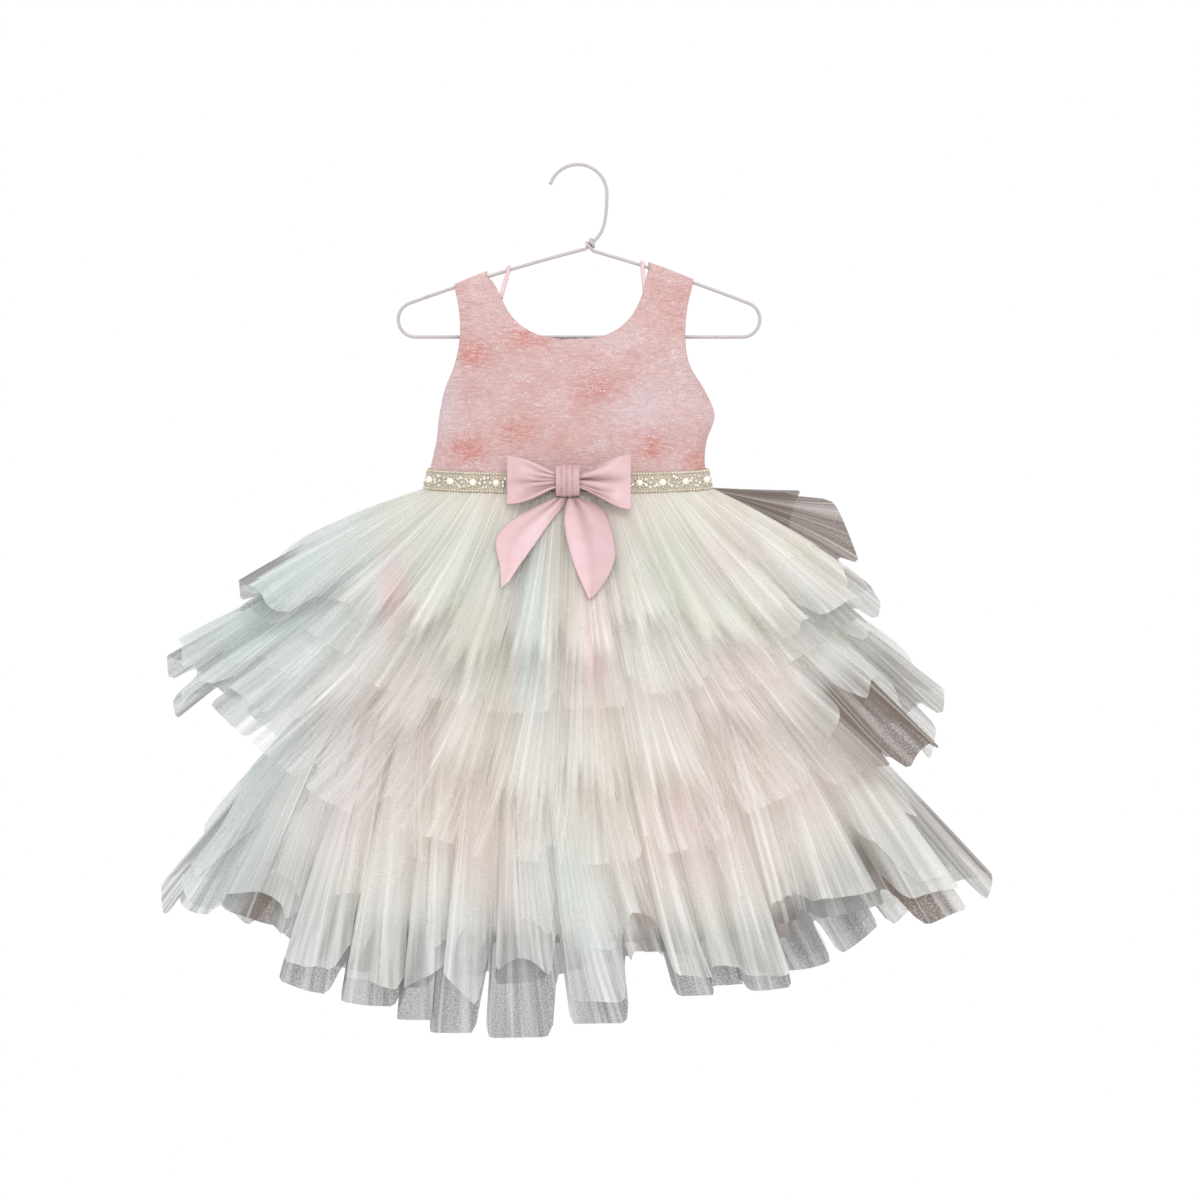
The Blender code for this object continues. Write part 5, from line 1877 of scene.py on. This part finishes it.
def over_tier(form: TierForm, x: Array, z: Array) -> Array:
    """y of points in front of a tier's crests, found by halving over the angle and the length in turn.

    Args:
        form: The tier.
        x: Each point's x.
        z: Each point's height.

    Returns:
        y of each point.
    """
    angle, t = np.full_like(x, 1.5 * np.pi), np.full_like(x, 0.5)
    for _ in range(8):
        low, high = np.zeros_like(x), np.full_like(x, 1.2)
        for _ in range(20):
            t = (low + high) / 2
            above = form.surface(angle, t)[..., 2] > z
            low, high = np.where(above, t, low), np.where(above, high, t)
        low, high = np.full_like(x, np.pi), np.full_like(x, 2 * np.pi)
        for _ in range(20):
            angle = (low + high) / 2
            left = form.surface(angle, t)[..., 0] < x
            low, high = np.where(left, angle, low), np.where(left, high, angle)
    stand = 1.25 * form.depth * t**form.gather + CLOTH + 0.0020
    return form.surface(angle, t)[..., 1] + stand / form.normal(angle, t)[..., 1]


@dataclass(frozen=True)
class Loop:
    """A loop: its side, its reach from the knot's middle, and its edges' heights at its end and its knot."""

    word: str
    side: int
    reach: float
    top: float
    bottom: float
    knot_top: float
    knot_bottom: float


@dataclass(frozen=True)
class Tail:
    """A tail from under the knot to its slanting end, the twist of its lower end in metres, and the strength
    of the painted shade over all but its left edge.
    """

    word: str
    left: tuple[tuple[float, float], ...]
    right: tuple[tuple[float, float], ...]
    curl: float
    shade: float


LOOPS = (
    Loop("left", LEFT, 0.0500, -0.2462, -0.2868, -0.2610, -0.2728),
    Loop("right", RIGHT, 0.0520, -0.2452, -0.2912, -0.2610, -0.2728),
)
TAILS = (
    Tail("left", ((-0.0200, -0.2812), (-0.0420, -0.2920), (-0.0580, -0.3020), (-0.0680, -0.3140),
                  (-0.0690, -0.3240), (-0.0655, -0.3390), (-0.0640, -0.3570)),
         ((-0.0108, -0.2815), (-0.0150, -0.2900), (-0.0210, -0.2980), (-0.0290, -0.3090),
          (-0.0370, -0.3210), (-0.0470, -0.3350), (-0.0585, -0.3520)), 0.0030, 0.0),
    Tail("right", ((-0.0088, -0.2815), (-0.0115, -0.2930), (-0.0118, -0.3060), (-0.0085, -0.3220),
                   (-0.0030, -0.3400), (0.0030, -0.3540), (0.0085, -0.3660)),
         ((0.0010, -0.2815), (0.0190, -0.2900), (0.0255, -0.3030), (0.0295, -0.3190),
          (0.0300, -0.3330), (0.0230, -0.3500), (0.0115, -0.3650)), -0.0020, 0.25),
)

# A loop's creases: the middle of each one across the ribbon, its width, its reach out, and its depth.
CREASES = ((0.14, 0.05, 0.80, 0.0026), (0.34, 0.05, 0.70, 0.0034), (0.52, 0.04, 1.00, 0.0036),
           (0.68, 0.05, 0.75, 0.0034), (0.86, 0.05, 0.95, 0.0028))


@dataclass
class Bow:
    """The satin bow: a knot of darker, rougher satin, two loops drawn in by gathers, and two tails that lie
    on the tulle.
    """

    satin: Material
    knot_finish: Material
    tier: TierForm
    waist: float = 0.90
    tuck: float = 0.0030
    fullness: float = 0.0062
    pinch: float = 0.0018
    lean: float = 14.0
    swell: float = 0.0030
    ripple: float = 0.0012
    tail_thickness: float = 0.0008
    rows: int = 72
    columns: int = 40

    def gathers(self, across: Array, out: Array, side: int) -> Array:
        """Creases that fan out from the knot: bell curves across the ribbon, each fading out along it.

        Args:
            across: 0 at the ribbon's top edge and 1 at its bottom edge.
            out: 0 at the knot and 1 at the loop's end.
            side: LEFT or RIGHT, whose creases differ.

        Returns:
            Metres inwards.
        """
        total = 0.0 * across * out
        for number, (middle, width, reach, depth) in enumerate(CREASES):
            middle = middle + 0.05 * irregular(number, side)
            spread = width * (0.8 + 1.6 * out)
            line = blend(middle, 0.5 + 1.15 * (middle - 0.5), out)
            fade = np.clip(1 - out / reach, 0, 1)**0.8 * eased(out / 0.08 + 0.3)
            total = total + depth * bell(across, line, spread) * fade
        return total

    def loop(self, loop: Loop) -> None:
        """A loop: ribbon that goes out from the knot at the front, turns and comes back behind.

        Its way out is the sine of half a turn, its fullness the cosine, and its edges rise and fall towards
        its end. The creases lie in the front face, and its lower part leans forward over the skirt.

        Args:
            loop: Its sizes.
        """
        start = KNOT_WIDTH / 2 - self.tuck
        turn = np.pi * evenly(self.rows)[:, None]
        across = evenly(self.columns)[None, :]
        out, front = np.sin(turn)**0.85, np.cos(turn)
        full = blend(self.pinch, self.fullness, eased(out / 0.6))
        top = blend(loop.knot_top, loop.top, eased(out)**0.8)
        bottom = blend(loop.knot_bottom, loop.bottom, eased(out)**0.8)
        wave = 0.0009 * np.sin(np.pi * out) * uneven_field(across * 3, out * 2, loop.side)
        z = blend(top, bottom, across) + wave
        crown = full * front * (1 + 0.35 * np.sin(np.pi * across) * np.sin(np.pi * np.clip(out * 0.9, 0, 1)))
        lean = self.lean * np.maximum(BOW_Z - z, 0.0)**2
        crease = self.gathers(across, out, loop.side)
        ease = crease * np.where(front > 0, 1.0, -0.4)
        soft = 0.0007 * uneven_field(across * 4, turn * 2.5, 7.7 + loop.side) * out
        x = CENTRE_LOW + loop.side * blend(start, loop.reach, out)
        points = stack(x, bow_y() - crown + ease - soft - lean, z)
        # Painted shade: darker in the creases and where the loop goes into the knot.
        shade = np.clip(crease / 0.0026, 0, 1) + 0.5 * np.exp(-out / 0.12) * np.ones_like(across)
        grid = Grid(points, flip=loop.side > 0, values={"crease": shade})
        piece = Mesh(f"bow_ribbon_loop_{loop.word}").add(grid).build()
        thicken(piece, RIBBON)
        dress(piece, self.satin, "bow_satin", f"bow_loop_{loop.word}")
        declare(points, Held.FOLDED)

    def knot(self) -> None:
        """The knot: a ribbon wrapped round the middle, fullest at its own middle, with two soft creases."""
        across = evenly(32, -1.0, 1.0)[:, None]
        turn = evenly(64, 0.0, 2 * np.pi)[None, :]
        girth = blend(1.0, self.waist, across * across)
        crease = sum(0.06 * bell(across, place, 0.12) for place in (-0.55, -0.10, 0.40))
        crease = crease * (0.6 + 0.4 * uneven_field(across * 2, 4 * turn, 9.9))
        girth = girth - crease + 0.02 * uneven_field(across * 4, 5 * np.cos(turn), 8.8)
        points = stack(CENTRE_LOW + across * KNOT_WIDTH / 2 + 0 * turn,
                       bow_y() + girth * KNOT_DEPTH / 2 * np.cos(turn),
                       BOW_Z + girth * KNOT_HEIGHT / 2 * np.sin(turn))
        points[:, -1] = points[:, 0]
        # Painted shade in the knot's creases, kept as the crease value.
        piece = Mesh("bow_ribbon_knot").add(Grid(points, values={"crease": 11 * crease})).build()
        thicken(piece, RIBBON)
        dress(piece, self.knot_finish, "bow_satin", "bow_knot")
        declare(points, Held.FOLDED)

    def tail(self, tail: Tail) -> None:
        """A tail: smooth edges from under the knot, a soft fold down its middle, lying on the tier.

        Its y is the tier's crests', less half a sine across it, with ripples near the knot, and its lower end
        lifts along one edge.

        Args:
            tail: Its edges and its curl.
        """
        edges = [smooth_route(np.array([(x, 0.0, z) for x, z in side]), self.rows)
                 for side in (tail.left, tail.right)]
        across = evenly(self.columns // 2)[None, :]
        down = np.linspace(0.0, 1.0, self.rows)[:, None]
        x, z = (blend(edges[0][:, None, k], edges[1][:, None, k], across) for k in (0, 2))
        on_tier = over_tier(self.tier, x, z)
        y = on_tier - self.swell * np.sin(np.pi * across) * (1 - 0.86 * down)
        lifted = np.where(tail.curl > 0, across, across - 1)
        y = y - tail.curl * lifted * bell(down, 0.72, 0.22)
        y = y - self.ripple * np.sin(2 * np.pi * across * 1.5 + 1) * np.exp(-down / 0.25)
        points = stack(x, np.minimum(blend(bow_y(), y, eased(3.0 * down)), y), z)
        # Painted shade: a dark line down the middle near the top, the tail's own shade over all but its left
        # edge, and a dark band under the knot.
        fold = 0.6 * bell(across, 0.45, 0.12) * np.exp(-down / 0.45)
        edge = tail.shade * eased((across - 0.15) / 0.4)
        grid = Grid(points, values={"crease": np.clip(fold + edge + 0.8 * np.exp(-down / 0.08), 0, 1)})
        piece = Mesh(f"bow_ribbon_tail_{tail.word}").add(grid).build()
        thicken(piece, self.tail_thickness)
        dress(piece, self.satin, "bow_satin", f"bow_tail_{tail.word}")
        declare(points, Held.HUNG)

    def build(self) -> None:
        """Builds the knot, the loops and the tails."""
        self.knot()
        for loop in LOOPS:
            self.loop(loop)
        for tail in TAILS:
            self.tail(tail)


# ---- the stage ----
@dataclass(frozen=True)
class Stage:
    """A pale floor, a soft white surround, one large key lamp and the camera."""

    middle: Triple = (0.0177, 0.0, -0.3667)
    distance: float = 4.2
    frame_width: float = 1.014
    sensor: float = 36.0
    floor_z: float = -1.25
    floor_radius: float = 2.6
    surround: float = 1.10
    key_power: float = 24.0
    key_size: float = 1.4
    key_place: Triple = (0.3, -2.4, 1.0)

    def camera(self) -> None:
        """A long lens in front: the sensor's width times the distance over the frame's width."""
        data = bpy.data.cameras.new("camera")
        data.sensor_width = self.sensor
        data.lens = self.sensor * self.distance / self.frame_width
        data.clip_end = 50.0
        made = bpy.data.objects.new("camera", data)
        made.location = (self.middle[0], -self.distance, self.middle[2])
        made.rotation_euler = (math.pi / 2, 0.0, 0.0)
        bpy.context.scene.collection.objects.link(made)
        bpy.context.scene.camera = made

    def floor(self) -> None:
        """A round pale floor far under the dress: rings of points at even radii."""
        radius = evenly(8, 0.0, self.floor_radius)[:, None]
        turn = evenly(64, 0.0, 2 * np.pi)[None, :]
        points = stack(radius * np.cos(turn), radius * np.sin(turn), self.floor_z + 0 * turn)
        points[:, -1] = points[:, 0]
        piece = Mesh("pale_floor").add(Grid(points)).build()
        graph = Graph("pale_floor")
        cloud = graph.noise(graph.on_object(), 3.0, 2.0)
        colour = graph.mix(paint(206, 206, 204), paint(214, 214, 213), cloud)
        piece.data.materials.append(graph.surface({"Base Color": colour, "Roughness": 0.8}))

    def light(self) -> None:
        """A surround that is white to the eye and a little brighter as light, and a key lamp in front."""
        world = bpy.data.worlds.new("surround")
        world.use_nodes = True
        tree = world.node_tree
        ground = tree.nodes["Background"]
        seen = tree.nodes.new("ShaderNodeLightPath").outputs["Is Camera Ray"]
        strength = tree.nodes.new("ShaderNodeMapRange")
        strength.inputs["To Min"].default_value = self.surround
        tree.links.new(seen, strength.inputs["Value"])
        tree.links.new(strength.outputs["Result"], ground.inputs["Strength"])
        ground.inputs["Color"].default_value = (1.0, 1.0, 1.0, 1.0)
        bpy.context.scene.world = world
        lamp = bpy.data.lights.new("key", "AREA")
        lamp.size = self.key_size
        lamp.energy = self.key_power
        made = bpy.data.objects.new("key", lamp)
        made.location = self.key_place
        aim = made.location - Vector(self.middle)
        made.rotation_euler = aim.to_track_quat("Z", "Y").to_euler()
        bpy.context.scene.collection.objects.link(made)

    def build(self) -> None:
        """Sets up the camera, the floor, the light, the plain view of colours and how far light travels."""
        self.camera()
        self.floor()
        self.light()
        scene = bpy.context.scene
        scene.view_settings.view_transform = "Standard"
        scene.cycles.transparent_max_bounces = 32
        scene.cycles.diffuse_bounces = 6
        scene.cycles.transmission_bounces = 4
        scene.cycles.max_bounces = 7


def main() -> None:
    """Loads the frame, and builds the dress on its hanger."""
    logging.basicConfig(level=logging.INFO, format="%(message)s")
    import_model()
    Stage().build()

    hanger = Hanger(CoatedWire().material())
    hanger.build()
    satin = Satin("bow_satin", paint(209, 175, 177), paint(215, 185, 191)).material()
    glittered = Satin("bow_knot_satin", paint(192, 158, 159), paint(202, 168, 173), 0.42).material()
    Bodice(Brocade().material(), hanger).build()
    HangerLoops(satin, hanger).build()
    Underskirt(Lining().material()).build()
    finishes = {
        Hem.VEIL: Tulle("tulle_veil", 0.90, 0.14).material(),
        Hem.NET: Tulle("tulle_net", 0.90, 0.14, lined=0.35, grain=0.14, glitter=0.2).material(),
        Hem.OVERLAY: Tulle("tulle_overlay", 0.62, 0.25).material(),
    }
    for form in TIER_FORMS:
        TulleTier(form, finishes, TIER_ENDS[form.name]).build()
    WaistBand(
        BandGround().material(),
        Bead("band_pearl", paint(240, 234, 224), paint(232, 222, 214), 0.18, coat=0.5).material(),
        Bead("band_stone", paint(236, 234, 228), paint(214, 206, 190), 0.10, metal=0.75).material(),
        Bead("band_seed", paint(226, 216, 196), paint(206, 196, 178), 0.25, metal=0.35).material(),
    ).build()
    Bow(satin, glittered, TIER_FORMS[0]).build()


if __name__ == "__main__":
    main()
